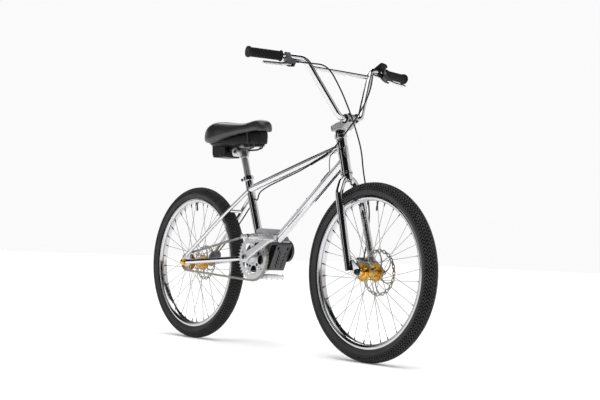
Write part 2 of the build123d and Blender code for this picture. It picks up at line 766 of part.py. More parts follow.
cog_blank = toothed_disc(rear_axle_point, cog_teeth, cog_pitch_radius, cog_direction, chain_y, 2.4)
cog_collar = cross_rod(rear_axle_point, chain_y - 3.5, chain_y + 9.4, 20)
rear_cog = gather([cog_blank, cog_collar], [cross_rod(rear_axle_point, -90, 0, axle_radius + running)])
save(rear_cog, "rear_cog")

tangent = acos((ring_pitch_radius - cog_pitch_radius) / (rear_axle_point - bracket).length)


def turned_from(angle):
    base = radians(cog_direction)
    return Vector(cos(base + angle), 0, sin(base + angle))


def chain_band(offset, y_from, y_to):
    """The outline of a loop round both discs, moved out from the pitch line by offset."""
    big = ring_pitch_radius + offset
    small = cog_pitch_radius + offset
    upper_big = bracket + turned_from(-tangent) * big
    upper_small = rear_axle_point + turned_from(-tangent) * small
    lower_big = bracket + turned_from(tangent) * big
    lower_small = rear_axle_point + turned_from(tangent) * small
    front_far = bracket - to_cog * big
    rear_far = rear_axle_point + to_cog * small

    def flat(point):
        return (point.X, point.Z)

    with BuildPart() as piece:
        with BuildSketch(Plane.XZ.offset(-y_to)):
            with BuildLine():
                Line(flat(upper_big), flat(upper_small))
                ThreePointArc(flat(upper_small), flat(rear_far), flat(lower_small))
                Line(flat(lower_small), flat(lower_big))
                ThreePointArc(flat(lower_big), flat(front_far), flat(upper_big))
            make_face()
        extrude(amount=y_to - y_from)
    return piece.part


def chain_plate(y_from, y_to):
    inner = chain_band(-plate_half_height, y_from - 1, y_to + 1)
    return gather([chain_band(plate_half_height, y_from, y_to)], [inner]).part


ring_wrap = 180 - degrees(tangent)
cog_wrap = degrees(tangent)
ring_count = int(ring_wrap / (360 / ring_teeth))
cog_count = int(cog_wrap / (360 / cog_teeth))
roller_points = []
for number in range(-ring_count, ring_count + 1):
    angle = radians(180 + number * 360 / ring_teeth)
    roller_points.append(bracket + turned_from(angle) * ring_pitch_radius)
for number in range(-cog_count, cog_count + 1):
    angle = radians(number * 360 / cog_teeth)
    roller_points.append(rear_axle_point + turned_from(angle) * cog_pitch_radius)
for side in (-1, 1):
    ring_last = ring_count * 360 / ring_teeth
    cog_last = cog_count * 360 / cog_teeth
    ring_rest = radians(ring_wrap - ring_last) * ring_pitch_radius
    cog_rest = radians(cog_wrap - cog_last) * cog_pitch_radius
    leave = bracket + turned_from(side * tangent) * ring_pitch_radius
    reach = rear_axle_point + turned_from(side * tangent) * cog_pitch_radius
    straight = (reach - leave).length
    whole = ring_rest + straight + cog_rest
    count = round(whole / chain_pitch)
    for number in range(1, count):
        along = whole * number / count
        if along < ring_rest:
            back = (ring_rest - along) / ring_pitch_radius
            roller_points.append(bracket + turned_from(side * (tangent + back)) * ring_pitch_radius)
        elif along < ring_rest + straight:
            roller_points.append(leave + unit(reach - leave) * (along - ring_rest))
        else:
            past = (along - ring_rest - straight) / cog_pitch_radius
            roller_points.append(rear_axle_point + turned_from(side * (tangent - past)) * cog_pitch_radius)
plate_inner = 2.4
plate_outer = 4.0
with BuildPart() as roller_set:
    with BuildSketch(Plane.XZ.offset(-chain_y - plate_inner - 0.2)):
        with Locations(*[(point.X, point.Z) for point in roller_points]):
            Circle(roller_radius)
    extrude(amount=2 * plate_inner + 0.4)
chain = gather([chain_plate(chain_y + plate_inner, chain_y + plate_outer),
                chain_plate(chain_y - plate_outer, chain_y - plate_inner), roller_set.part])
save(chain, "chain")


def crank_end(side):
    angle = radians(crank_angle)
    reach = Vector(cos(angle), 0, sin(angle)) * crank_length
    return bracket + reach if side < 0 else bracket - reach


crank_pieces = [cross_rod(bracket, -arm_inner - crank_arm_thickness, arm_inner + crank_arm_thickness,
                          spindle_radius)]
for side in (-1, 1):
    end = crank_end(side)
    y_from = min(side * arm_inner, side * (arm_inner + crank_arm_thickness))
    y_to = y_from + crank_arm_thickness
    way = unit(end - bracket)
    wide = Vector(-way.Z, 0, way.X)
    corners = [bracket + wide * 15, end + wide * 11, end - wide * 11, bracket - wide * 15]
    crank_pieces.append(side_plate([(point.X, point.Z) for point in corners], y_from, y_to))
    crank_pieces.append(cross_rod(bracket, y_from, y_to, 19))
    crank_pieces.append(cross_rod(end, y_from, y_to, 14))
    axle_end = side * (arm_inner + crank_arm_thickness + 6 + pedal_length)
    axle_from = side * (arm_inner + crank_arm_thickness - 2)
    crank_pieces.append(cross_rod(end, min(axle_from, axle_end), max(axle_from, axle_end),
                                  pedal_axle_radius))
cranks = gather(crank_pieces)
save(cranks, "cranks")


def pedal(side):
    end = crank_end(side)
    inner = arm_inner + crank_arm_thickness + 3
    outer = inner + pedal_length
    y_low, y_high = (inner, outer) if side > 0 else (-outer, -inner)
    middle = Vector(end.X, (y_low + y_high) / 2, end.Z)
    with BuildPart() as piece:
        with BuildSketch(Plane(origin=middle, x_dir=(1, 0, 0), z_dir=(0, 0, 1))):
            RectangleRounded(pedal_width, pedal_length, 9)
            with Locations((-29, 0), (29, 0)):
                RectangleRounded(26, pedal_length - 26, 5, mode=Mode.SUBTRACT)
        extrude(amount=pedal_thickness / 2 - 2, both=True)
    barrel = cross_rod(end, y_low, y_high, pedal_thickness / 2 + 1)
    body = gather([piece.part, barrel], [cross_rod(end, y_low - 1, y_high + 1, pedal_axle_radius + running)])
    return body


save(pedal(-1), "pedal_right")
save(pedal(1), "pedal_left")

# ---- seat

post_top = on_seat_tube(seat_tube_length + post_exposed)
post_low = on_seat_tube(seat_tube_length - post_inserted)
seat_post = gather([rod(post_low, post_top, post_radius)])
save(seat_post, "seat_post")

clamp_center = Vector(post_top.X - 16, 0, post_top.Z - 1)
rail_z = clamp_center.Z + 8
base_low = rail_z + 34
base_thickness = 8.0


def rail(side, radius):
    y = side * rail_half
    points = [Vector(-124, y, base_low - weld_gap), Vector(-137, y, rail_z + 6), Vector(-166, y, rail_z),
              Vector(-351, y, rail_z), Vector(-373, y, rail_z + 14), Vector(-392, y, base_low - weld_gap)]
    return bent_rod(points, [9, 20, 14, 30], radius)


seat_clamp = gather([cross_rod(clamp_center, -27, 27, 17),
                     rod(post_top - seat_up * 26, post_top + seat_up * 6, 18)],
                    [rod(post_low, post_top, post_radius + weld_gap),
                     rail(-1, rail_radius + weld_gap), rail(1, rail_radius + weld_gap)])
save(seat_clamp, "seat_clamp")

saddle_x = [-388, -366, -322, -262, -200, -140, -96, -74]
saddle_half = [58, 100, 120, 106, 66, 40, 30, 18]
saddle_low = [14, 6, 0, 0, 0, 0, 4, 14]
saddle_high = [44, 60, 70, 66, 58, 58, 60, 48]
cover_low = base_low + base_thickness + weld_gap
base_outline = [(-384, 50), (-362, 94), (-322, 112), (-262, 98), (-200, 60), (-140, 34), (-98, 24),
                (-82, 10)]
with BuildPart() as saddle_base:
    with BuildSketch(Plane.XY.offset(base_low)):
        with BuildLine():
            right_side = [(x, -y) for x, y in reversed(base_outline)]
            Polyline(*(base_outline + right_side), close=True)
        make_face()
        fillet(vertices(), 8)
    extrude(amount=base_thickness)
save(saddle_base, "saddle_base")
saddle_rails = gather([rail(-1, rail_radius), rail(1, rail_radius)], [saddle_base.part])
save(saddle_rails, "saddle_rails")

with BuildPart() as saddle_cover:
    for x, half, low, high in zip(saddle_x, saddle_half, saddle_low, saddle_high):
        middle = Vector(x, 0, cover_low + (low + high) / 2)
        with BuildSketch(Plane(origin=middle, x_dir=(0, 1, 0), z_dir=(1, 0, 0))):
            RectangleRounded(2 * half, high - low, min(14, half * 0.6, (high - low) * 0.45))
    loft(ruled=True)
save(saddle_cover, "saddle_cover")

case_back = -386.0
case_front = -300.0
case_low = rail_z - 26
case_half = 36.0
case_wall = 3.0
slot_half = rail_radius + 1.5
cell_radius = 9.2
cell_length = 65.0
case_cuts = []
cells = []
case_high = base_low - weld_gap
with BuildPart() as case_block:
    with BuildSketch(Plane.XZ.offset(-case_half)):
        with BuildLine():
            Polyline((case_back, case_high), (case_back + 5, case_low + 12), (case_back + 14, case_low),
                     (case_front, case_low), (case_front, case_high), close=True)
        make_face()
    extrude(amount=2 * case_half)
for side in (-1, 1):
    slot_middle = Vector((case_back + case_front) / 2, side * rail_half, (rail_z + case_high) / 2 + 10)
    case_cuts.append(Pos(slot_middle) * Box(140, 2 * slot_half, case_high - rail_z + 30))
cell_middle = Vector(case_front - case_wall - cell_length / 2 - 2, 0, case_low + case_wall + cell_radius + 2)
cell_room_low = cell_middle.Z - cell_radius - seat_gap
cell_room_high = cell_middle.Z + 3 * cell_radius + 2
cell_room = Box(cell_length + 4, 2 * (cell_radius + seat_gap), cell_room_high - cell_room_low)
case_cuts.append(Pos(cell_middle.X, 0, (cell_room_low + cell_room_high) / 2) * cell_room)
for row in (0, 1):
    low_at = Vector(cell_middle.X - cell_length / 2, 0, cell_middle.Z + row * (2 * cell_radius + 0.6))
    cells.append(rod(low_at, low_at + Vector(cell_length, 0, 0), cell_radius))
front_box = Pos(-160, 0, base_low - 12) * Box(96, 26, 24 - 2 * weld_gap)
seat_case = gather([case_block.part, front_box], case_cuts)
save(seat_case, "seat_case")
battery_cells = gather(cells)
save(battery_cells, "battery_cells")

# ---- hoses and cables

hose_start = lever_point(-38, 21.5)
front_hose_points = [
    hose_start, hose_start - outward * 40, Vector(369, -104, 996), Vector(397, -72, 926),
    Vector(417, -46, 856), Vector(434, -22, 781), Vector(430, 12, 711), Vector(410, 40, 649),
    Vector(404, 64, 585),
    Vector(414, 73, 520), Vector(414, 74, 460), Vector(412, 70, 400), Vector(fx - 86, 50, fz + 49)]
front_hose = gather([bent_rod(front_hose_points, natural_bends(front_hose_points), hose_radius)])
save(front_hose, "front_hose")

left_start = Vector(hose_start.X, -hose_start.Y, hose_start.Z)
left_inward = Vector(-outward.X, outward.Y, -outward.Z)
rear_hose_points = [
    left_start, left_start + left_inward * 40, Vector(373, 104, 996), Vector(407, 66, 935),
    Vector(425, 24, 875), Vector(423, -14, 817), Vector(397, -40, 763), Vector(349, -42, 719),
    Vector(293, -30, 698),
    Vector(233, -18, 683), Vector(173, -10, 664), Vector(113, -5, 646.5), Vector(53, -5, 630),
    Vector(-7, -5, 612.5),
    Vector(-65, -6, 595), Vector(-112, -4, 575), Vector(-140, 14, 552), Vector(-176, 27, 540),
    Vector(-214, 34, 524),
    Vector(-262, 45, 489), Vector(-310, 53, 454), Vector(-358, 60, 418), Vector(-404, 64, 384),
    Vector(ax + 74, rear_rotor_y + 10, az + 46)]
rear_hose = gather([bent_rod(rear_hose_points, natural_bends(rear_hose_points), hose_radius)])
save(rear_hose, "rear_hose")
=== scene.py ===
import bpy
import bmesh
import json
from math import acos, atan2, cos, pi, radians, sin, sqrt, tau
from mathutils import Matrix, Vector
from mathutils.bvhtree import BVHTree


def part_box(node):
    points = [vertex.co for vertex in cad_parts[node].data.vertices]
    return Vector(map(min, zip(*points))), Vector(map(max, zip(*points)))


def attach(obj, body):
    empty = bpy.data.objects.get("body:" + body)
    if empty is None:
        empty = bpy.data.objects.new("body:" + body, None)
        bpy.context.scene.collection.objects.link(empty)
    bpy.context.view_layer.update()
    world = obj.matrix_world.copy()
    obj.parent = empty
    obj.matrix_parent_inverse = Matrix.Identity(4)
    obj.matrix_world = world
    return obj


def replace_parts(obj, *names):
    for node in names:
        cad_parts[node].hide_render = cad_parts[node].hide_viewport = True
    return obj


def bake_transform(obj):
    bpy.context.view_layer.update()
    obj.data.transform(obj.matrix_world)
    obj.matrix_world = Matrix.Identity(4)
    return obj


# A chrome cruiser BMX with a mid-drive motor. Everything is in metres, in the CAD's own frame.

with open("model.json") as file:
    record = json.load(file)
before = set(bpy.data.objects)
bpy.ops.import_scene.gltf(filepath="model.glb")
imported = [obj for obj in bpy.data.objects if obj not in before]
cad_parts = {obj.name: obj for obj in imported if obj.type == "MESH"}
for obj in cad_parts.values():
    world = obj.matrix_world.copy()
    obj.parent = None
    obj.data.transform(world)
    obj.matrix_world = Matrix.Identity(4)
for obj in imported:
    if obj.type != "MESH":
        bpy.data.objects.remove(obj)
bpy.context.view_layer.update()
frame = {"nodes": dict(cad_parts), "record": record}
nodes = frame["nodes"]
record = frame["record"]
joints = {joint["name"]: joint for joint in record["behaviour"]["joints"]}
MM = 0.001
X, Y, Z = Vector((1, 0, 0)), Vector((0, 1, 0)), Vector((0, 0, 1))


def mm(x, y, z):
    return Vector((x, y, z)) * MM


def in_mm(*pairs):
    """A list of points, given in millimetres."""
    return [tuple(value * MM for value in pair) for pair in pairs]


def joint_point(name):
    return Vector(joints[name]["pos_m"])


def joint_axis(name):
    return Vector(joints[name]["axis"]).normalized()


front_axle = joint_point("front_wheel_spin")
rear_axle = joint_point("rear_wheel_spin")
bracket = joint_point("crank_spin")
steer_up = joint_axis("steering")
steer_ahead = Vector((steer_up.z, 0, -steer_up.x))
seat_up = joint_axis("seat_height")
fork_offset = 39.5 * MM
steer_foot = front_axle - steer_ahead * fork_offset


def on_steering(height, ahead=0.0, side=0.0):
    """A point beside the steering axis; height in mm from beside the front axle."""
    return steer_foot + (steer_up * height + steer_ahead * ahead + Y * side) * MM


def on_seat_tube(height):
    return bracket + seat_up * height * MM


def flipped(point):
    return Vector((point.x, -point.y, point.z))


# ---- materials


def link(tree, source, target):
    tree.links.new(source, target)


def material(name, color, metallic=0.0, roughness=0.5, spread=0.08, grain=400.0, bump=0.0, bump_size=0.0002,
             shade=0.0, shade_scale=6.0, pattern="noise", coat=0.0, gloss=0.5, wear=0.0, wear_color=None):
    """A principled surface whose roughness, shade and bump vary over the object's own coordinates."""
    made = bpy.data.materials.new(name)
    made.use_nodes = True
    tree = made.node_tree
    shader = tree.nodes["Principled BSDF"]
    shader.inputs["Base Color"].default_value = (*color, 1)
    shader.inputs["Metallic"].default_value = metallic
    shader.inputs["Specular IOR Level"].default_value = gloss
    shader.inputs["Coat Weight"].default_value = coat
    shader.inputs["Coat Roughness"].default_value = 0.12
    place = tree.nodes.new("ShaderNodeTexCoord")

    def noise(scale, detail=4.0):
        node = tree.nodes.new("ShaderNodeTexNoise")
        node.inputs["Scale"].default_value = scale
        node.inputs["Detail"].default_value = detail
        link(tree, place.outputs["Object"], node.inputs["Vector"])
        return node.outputs["Fac"]

    def ranged(source, low, high, start=0.3, end=0.7):
        node = tree.nodes.new("ShaderNodeMapRange")
        node.inputs["From Min"].default_value = start
        node.inputs["From Max"].default_value = end
        node.inputs["To Min"].default_value = low
        node.inputs["To Max"].default_value = high
        link(tree, source, node.inputs["Value"])
        return node.outputs["Result"]

    link(tree, ranged(noise(18), max(0.02, roughness - spread), roughness + spread),
         shader.inputs["Roughness"])
    if shade or wear:
        mix = tree.nodes.new("ShaderNodeMix")
        mix.data_type = "RGBA"
        mix.inputs["A"].default_value = (*color, 1)
        other = wear_color if wear_color else [channel * (1 - shade) for channel in color]
        mix.inputs["B"].default_value = (*other, 1)
        if wear:
            edges = tree.nodes.new("ShaderNodeNewGeometry")
            worn = ranged(edges.outputs["Pointiness"], 0, wear, 0.52, 0.62)
            link(tree, worn, mix.inputs["Factor"])
        else:
            link(tree, ranged(noise(shade_scale), 0, 1), mix.inputs["Factor"])
        link(tree, mix.outputs["Result"], shader.inputs["Base Color"])
    if bump:
        lift = tree.nodes.new("ShaderNodeBump")
        lift.inputs["Strength"].default_value = bump
        lift.inputs["Distance"].default_value = bump_size
        if pattern == "cells":
            cells = tree.nodes.new("ShaderNodeTexVoronoi")
            cells.feature = "DISTANCE_TO_EDGE"
            cells.inputs["Scale"].default_value = grain
            link(tree, place.outputs["Object"], cells.inputs["Vector"])
            link(tree, ranged(cells.outputs["Distance"], 0, 1, 0.0, 0.25), lift.inputs["Height"])
        else:
            link(tree, noise(grain, 2.0), lift.inputs["Height"])
        link(tree, lift.outputs["Normal"], shader.inputs["Normal"])
    return made


chrome = material("chrome", (0.72, 0.72, 0.735), metallic=1, roughness=0.055, spread=0.02, shade=0.06,
                  shade_scale=9)
satin_alloy = material("satin_alloy", (0.72, 0.72, 0.73), metallic=1, roughness=0.3, spread=0.06, grain=900,
                       bump=0.05, shade=0.08, shade_scale=25)
polished_alloy = material("polished_alloy", (0.62, 0.62, 0.635), metallic=1, roughness=0.16, spread=0.05,
                          shade=0.06, shade_scale=14, bump=0.03, grain=500)
gold_alloy = material("gold_alloy", (0.86, 0.50, 0.075), metallic=1, roughness=0.24, spread=0.05, grain=700,
                      bump=0.04, shade=0.25, shade_scale=40)
# painted shade: this near-black, far darker than the tyre rubber, is the floor of the tread grooves and the
# sheet behind the motor cover's slots, standing in for the shade there; the gear case lid takes it as its own
# black
groove_shade_and_lid_black = material("groove_shade_and_lid_black", (0.002, 0.002, 0.002), roughness=0.85, shade=0.4, gloss=0.1)
tread_rubber = material("tread_rubber", (0.042, 0.042, 0.043), gloss=0.3, roughness=0.72, spread=0.1,
                        grain=1200, bump=0.25, bump_size=0.0003, shade=0.4, shade_scale=60)
side_rubber = material("side_rubber", (0.028, 0.028, 0.029), gloss=0.35, roughness=0.55, spread=0.08,
                       grain=1500, bump=0.12, shade=0.3, shade_scale=20)
grip_rubber = material("grip_rubber", (0.007, 0.007, 0.007), gloss=0.3, roughness=0.6, grain=1500, bump=0.2,
                       shade=0.3)
vinyl = material("vinyl", (0.013, 0.013, 0.014), gloss=0.8, roughness=0.38, spread=0.04, pattern="cells",
                 grain=900, bump=0.35, bump_size=0.00012, coat=0.25, shade=0.3, shade_scale=12)
black_plastic = material("black_plastic", (0.006, 0.006, 0.007), gloss=0.25, roughness=0.42, grain=2200,
                         bump=0.25, bump_size=0.0001, shade=0.3)
gloss_black = material("gloss_black", (0.006, 0.006, 0.007), roughness=0.16, spread=0.06, coat=0.3, shade=0.2)
black_alloy = material("black_alloy", (0.010, 0.010, 0.011), metallic=0.4, gloss=0.4, roughness=0.34,
                       grain=900, bump=0.08, wear=0.5, wear_color=(0.2, 0.2, 0.21))
motor_grey = material("motor_grey", (0.07, 0.068, 0.072), metallic=0.3, roughness=0.42, grain=1400, bump=0.35,
                      shade=0.25, shade_scale=30)
light_alloy = material("light_alloy", (0.46, 0.46, 0.47), metallic=0.8, roughness=0.4, grain=1800,
                       bump=0.25, shade=0.1)
stainless = material("stainless", (0.42, 0.42, 0.41), metallic=1, roughness=0.24, spread=0.08, grain=900,
                     bump=0.05, shade=0.15, shade_scale=50)
chain_steel = material("chain_steel", (0.42, 0.40, 0.37), metallic=1, roughness=0.33, spread=0.08, shade=0.3,
                       shade_scale=70)
dark_steel = material("dark_steel", (0.06, 0.06, 0.062), metallic=0.9, roughness=0.35, shade=0.3, grain=900,
                      bump=0.1)
rail_black = material("rail_black", (0.006, 0.006, 0.006), gloss=0.4, roughness=0.28, coat=0.3, shade=0.2)
hose_black = material("hose_black", (0.007, 0.007, 0.007), gloss=0.3, roughness=0.42, shade=0.2, grain=1200,
                      bump=0.1)


# ---- mesh building


def new_object(name, verts, faces, stuff, body=None, smooth=True, angle=38.0):
    mesh = bpy.data.meshes.new(name)
    mesh.from_pydata([tuple(v) for v in verts], [], faces)
    made = bmesh.new()
    made.from_mesh(mesh)
    bmesh.ops.recalc_face_normals(made, faces=made.faces)
    made.to_mesh(mesh)
    made.free()
    obj = bpy.data.objects.new(name, mesh)
    bpy.context.scene.collection.objects.link(obj)
    mesh.materials.append(stuff)
    if smooth:
        mesh.shade_smooth()
        mesh.set_sharp_from_angle(angle=radians(angle))
    if body:
        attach(obj, body)
    return obj


def across(axis):
    """Two unit vectors square to an axis."""
    first = axis.cross(Y if abs(axis.dot(Y)) < 0.9 else X).normalized()
    return first, axis.cross(first).normalized()


class Build:
    """Collects vertices and faces of one piece before it becomes an object."""

    def __init__(self):
        self.verts = []
        self.faces = []

    def add(self, verts, faces):
        base = len(self.verts)
        self.verts.extend(verts)
        self.faces.extend([tuple(base + index for index in face) for face in faces])

    def lathe(self, origin, axis, profile, sides=32, closed=False):
        """Profile points are (along the axis, radius) in metres."""
        axis = axis.normalized()
        first, second = across(axis)
        base = len(self.verts)
        count = len(profile)
        for side in range(sides):
            turn = tau * side / sides
            away = first * cos(turn) + second * sin(turn)
            self.verts.extend([origin + axis * along + away * radius for along, radius in profile])
        for side in range(sides):
            here = base + side * count
            there = base + (side + 1) % sides * count
            for step in range(count if closed else count - 1):
                after = (step + 1) % count
                self.faces.append((here + step, here + after, there + after, there + step))
        if not closed:
            self.faces.append(tuple(base + side * count for side in range(sides)))
            self.faces.append(tuple(base + side * count + count - 1 for side in range(sides)))

    def rod(self, start, end, radius, sides=16, edge=0.0):
        length = (end - start).length
        if edge:
            profile = [(0, radius - edge), (edge * 0.3, radius - edge * 0.3), (edge, radius),
                       (length - edge, radius), (length - edge * 0.3, radius - edge * 0.3),
                       (length, radius - edge)]
        else:
            profile = [(0, radius), (length, radius)]
        self.lathe(start, end - start, profile, sides)

    def sweep(self, points, radius, sides=12, closed=False):
        """A round tube through the points; radius may be a list, one for each point."""
        count = len(points)
        radii = radius if isinstance(radius, list) else [radius] * count
        base = len(self.verts)
        normal = None
        for index, point in enumerate(points):
            before = points[index - 1] if index or closed else point
            after = points[(index + 1) % count] if index < count - 1 or closed else point
            way = (after - before).normalized()
            if normal is None:
                normal = across(way)[0]
            normal = (normal - way * normal.dot(way)).normalized()
            other = way.cross(normal)
            for side in range(sides):
                turn = tau * side / sides
                self.verts.append(point + (normal * cos(turn) + other * sin(turn)) * radii[index])
        for index in range(count if closed else count - 1):
            here = base + index * sides
            there = base + (index + 1) % count * sides
            for side in range(sides):
                after = (side + 1) % sides
                self.faces.append((here + side, here + after, there + after, there + side))
        if not closed:
            self.faces.append(tuple(range(base, base + sides)))
            self.faces.append(tuple(range(base + (count - 1) * sides, base + count * sides)))

    def block(self, center, right, ahead, size, up=None):
        """A box with its half sizes along three directions."""
        up = up or right.cross(ahead).normalized()
        corners = []
        for side in (-1, 1):
            for front in (-1, 1):
                for top in (-1, 1):
                    corners.append(center + right * side * size[0] / 2 + ahead * front * size[1] / 2
                                   + up * top * size[2] / 2)
        self.add(corners, [(0, 1, 3, 2), (4, 6, 7, 5), (0, 4, 5, 1), (2, 3, 7, 6), (0, 2, 6, 4),
                           (1, 5, 7, 3)])

    def done(self, name, stuff, body=None, bevel=0.0, angle=38.0, segments=2):
        obj = new_object(name, self.verts, self.faces, stuff, body, angle=angle)
        if bevel:
            add_bevel(obj, bevel, segments)
        return obj


def add_bevel(obj, width, segments=2, angle=35.0):
    change = obj.modifiers.new("bevel", "BEVEL")
    change.width = width
    change.segments = segments
    change.limit_method = "ANGLE"
    change.angle_limit = radians(angle)
    change.harden_normals = False
    return change


def plate(name, loops, center, thickness, stuff, body=None, bevel=0.0004, right=X, up=Z, resolution=2):
    """A flat plate cut from closed loops of (right, up) points in metres, with bevelled edges."""
    curve = bpy.data.curves.new(name, "CURVE")
    curve.dimensions = "2D"
    curve.fill_mode = "BOTH"
    curve.extrude = thickness / 2 - bevel
    curve.bevel_depth = bevel
    curve.bevel_resolution = resolution
    curve.offset = -bevel
    for loop in loops:
        spline = curve.splines.new("POLY")
        spline.points.add(len(loop) - 1)
        for point, (a, b) in zip(spline.points, loop):
            point.co = (a, b, 0, 1)
        spline.use_cyclic_u = True
    holder = bpy.data.objects.new(name + "_curve", curve)
    bpy.context.scene.collection.objects.link(holder)
    bpy.context.view_layer.update()
    mesh = bpy.data.meshes.new_from_object(holder)
    bpy.data.objects.remove(holder)
    out = right.cross(up)
    matrix = Matrix((right, up, out)).transposed().to_4x4()
    matrix.translation = center
    mesh.transform(matrix)
    mesh.name = name
    mesh.materials.clear()
    mesh.materials.append(stuff)
    obj = bpy.data.objects.new(name, mesh)
    bpy.context.scene.collection.objects.link(obj)
    mesh.shade_smooth()
    mesh.set_sharp_from_angle(angle=radians(35))
    if body:
        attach(obj, body)
    return obj


def ring_loop(radius, count=48, center=(0.0, 0.0), turn=0.0):
    return [(center[0] + radius * cos(turn + tau * k / count),
             center[1] + radius * sin(turn + tau * k / count))
            for k in range(count)]


def joined(name, pieces):
    """Joins finished mesh objects into one."""
    first = pieces[0]
    mixed = bmesh.new()
    stuffs = []
    for piece in pieces:
        start = len(mixed.faces)
        mixed.from_mesh(piece.data)
        mixed.faces.ensure_lookup_table()
        for face in mixed.faces[start:]:
            kind = piece.data.materials[face.material_index]
            if kind not in stuffs:
                stuffs.append(kind)
            face.material_index = stuffs.index(kind)
    mesh = bpy.data.meshes.new(name)
    mixed.to_mesh(mesh)
    mixed.free()
    for kind in stuffs:
        mesh.materials.append(kind)
    for piece in pieces:
        bpy.data.objects.remove(piece)
    obj = bpy.data.objects.new(name, mesh)
    bpy.context.scene.collection.objects.link(obj)
    mesh.set_sharp_from_angle(angle=radians(35))
    return obj


def dress(names, stuff, bevel=0.0):
    """Gives carried-over CAD nodes their material, and a small edge radius."""
    for name in names:
        obj = nodes[name]
        obj.data.materials.clear()
        obj.data.materials.append(stuff)
        if bevel:
            add_bevel(obj, bevel, 2)


# ---- camera, at the height and angle from which the bicycle is seen

camera_place = mm(3277, -2604, 362)
camera_yaw, camera_pitch, camera_roll = radians(50.43), radians(2.57), radians(2.32)
focal_length = 68.26
looking = Vector((-sin(camera_yaw) * cos(camera_pitch), cos(camera_yaw) * cos(camera_pitch),
                  sin(camera_pitch)))
level = Vector((cos(camera_yaw), sin(camera_yaw), 0))
upright = level.cross(looking)
camera_right = level * cos(camera_roll) + upright * sin(camera_roll)
camera_up = upright * cos(camera_roll) - level * sin(camera_roll)
lens = bpy.data.cameras.new("camera")
lens.lens = focal_length
lens.sensor_width = 36
lens.clip_end = 200
camera = bpy.data.objects.new("camera", lens)
facing = Matrix((camera_right, camera_up, -looking)).transposed().to_4x4()
facing.translation = camera_place
camera.matrix_world = facing
bpy.context.scene.collection.objects.link(camera)
bpy.context.scene.camera = camera

# ---- wheels

tyre_outer = 301 * MM
tyre_tube = 27 * MM
tyre_center = tyre_outer - tyre_tube
tread_height = 2.0 * MM
bead = 257 * MM
rim_low = 237.9 * MM


def wheel_frame(angle):
    """Directions away from the axle and round the wheel at an angle."""
    away = X * cos(angle) + Z * sin(angle)
    return away, Z * cos(angle) - X * sin(angle)


def make_tyre(end, center):
    body = end + "_wheel"
    carcass = tyre_tube - tread_height
    wall = 3.2 * MM
    lip = 17 * MM
    outer, inner = [], []
    reach = acos(-lip / carcass)
    steps = 26
    for k in range(steps + 1):
        turn = -reach + 2 * reach * k / steps
        rib = 0.35 * MM if abs(abs(turn) - 1.72) < 0.06 else 0.0
        outer.append(((carcass + rib) * sin(turn), tyre_center + (carcass + rib) * cos(turn)))
        inner.append(((carcass - wall) * sin(turn), tyre_center + max((carcass - wall) * cos(turn), -lip)))
    casing = Build()
    casing.lathe(center, Y, outer + inner[::-1], 180, closed=True)
    casing.done(end + "_tyre_casing", side_rubber, body, angle=60)
    spread = radians(86)
    ground = Build()
    arc = [(-1 + 2 * k / 12) * (spread + 0.02) for k in range(13)]
    raised, sunk = carcass + 0.25 * MM, carcass - 1 * MM
    above = [(raised * sin(turn), tyre_center + raised * cos(turn)) for turn in arc]
    under = [(sunk * sin(turn), tyre_center + sunk * cos(turn)) for turn in reversed(arc)]
    # the groove floor between the tread blocks, painted near-black as shade in the grooves
    ground.lathe(center, Y, above + under, 180, closed=True)
    ground.done(end + "_tyre_ground", groove_shade_and_lid_black, body, angle=60)
    blocks = Build()
    pitch_count = 150
    lanes = 10
    for row in range(pitch_count):
        for lane in range(lanes):
            middle = -spread + 2 * spread * (lane + 0.5) / lanes
            half_lane = spread / lanes * (0.86 if 0 < lane < lanes - 1 else 0.9)
            skew = 0.0135 * (-1 if lane % 2 else 1)
            angle = tau * (row + (lane // 2 % 2) * 0.5) / pitch_count
            half = tau / pitch_count * 0.29
            verts = []
            for rise, shrink in ((-0.6 * MM, 1.0), (tread_height, 0.88)):
                for a, b in ((-1, -1), (1, -1), (1, 1), (-1, 1)):
                    lean = middle + a * half_lane * shrink
                    place = angle + b * half * shrink + skew * a
                    away, _ = wheel_frame(place)
                    radius = carcass + rise
                    verts.append(center + Y * radius * sin(lean) + away * (tyre_center + radius * cos(lean)))
            blocks.add(verts, [(0, 1, 5, 4), (1, 2, 6, 5), (2, 3, 7, 6), (3, 0, 4, 7), (4, 5, 6, 7)])
    tread = blocks.done(end + "_tyre_tread", tread_rubber, body, angle=20)
    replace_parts(tread, end + "_tyre")


def make_rim(end, center):
    half = 16.5 * MM
    top = bead - 0.3 * MM
    profile = [(-half, top - 9 * MM), (-half, top - 0.8 * MM), (-half + 0.8 * MM, top),
               (-half + 2 * MM, top - 0.4 * MM), (-half + 3 * MM, top - 6 * MM), (-9 * MM, top - 8 * MM),
               (9 * MM, top - 8 * MM), (half - 3 * MM, top - 6 * MM), (half - 2 * MM, top - 0.4 * MM),
               (half - 0.8 * MM, top), (half, top - 0.8 * MM), (half, top - 9 * MM)]
    bow = 9
    for k in range(1, bow):
        turn = pi * k / bow
        profile.append((half * cos(turn) * 0.98, top - 9 * MM - (top - 9 * MM - rim_low) * sin(turn) ** 0.6))
    build = Build()
    build.lathe(center, Y, profile, 180, closed=True)
    rim = build.done(end + "_rim_ring", polished_alloy, end + "_wheel", angle=50)
    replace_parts(rim, end + "_rim")


flanges = {"front": ((1, 26.0), (-1, -30.0)), "rear": ((1, 28.0), (-1, -30.0))}
spokes_per_flange = 18
cross_angle = radians(60)
flange_hole_radius = 27 * MM
spoke_radius = 0.95 * MM


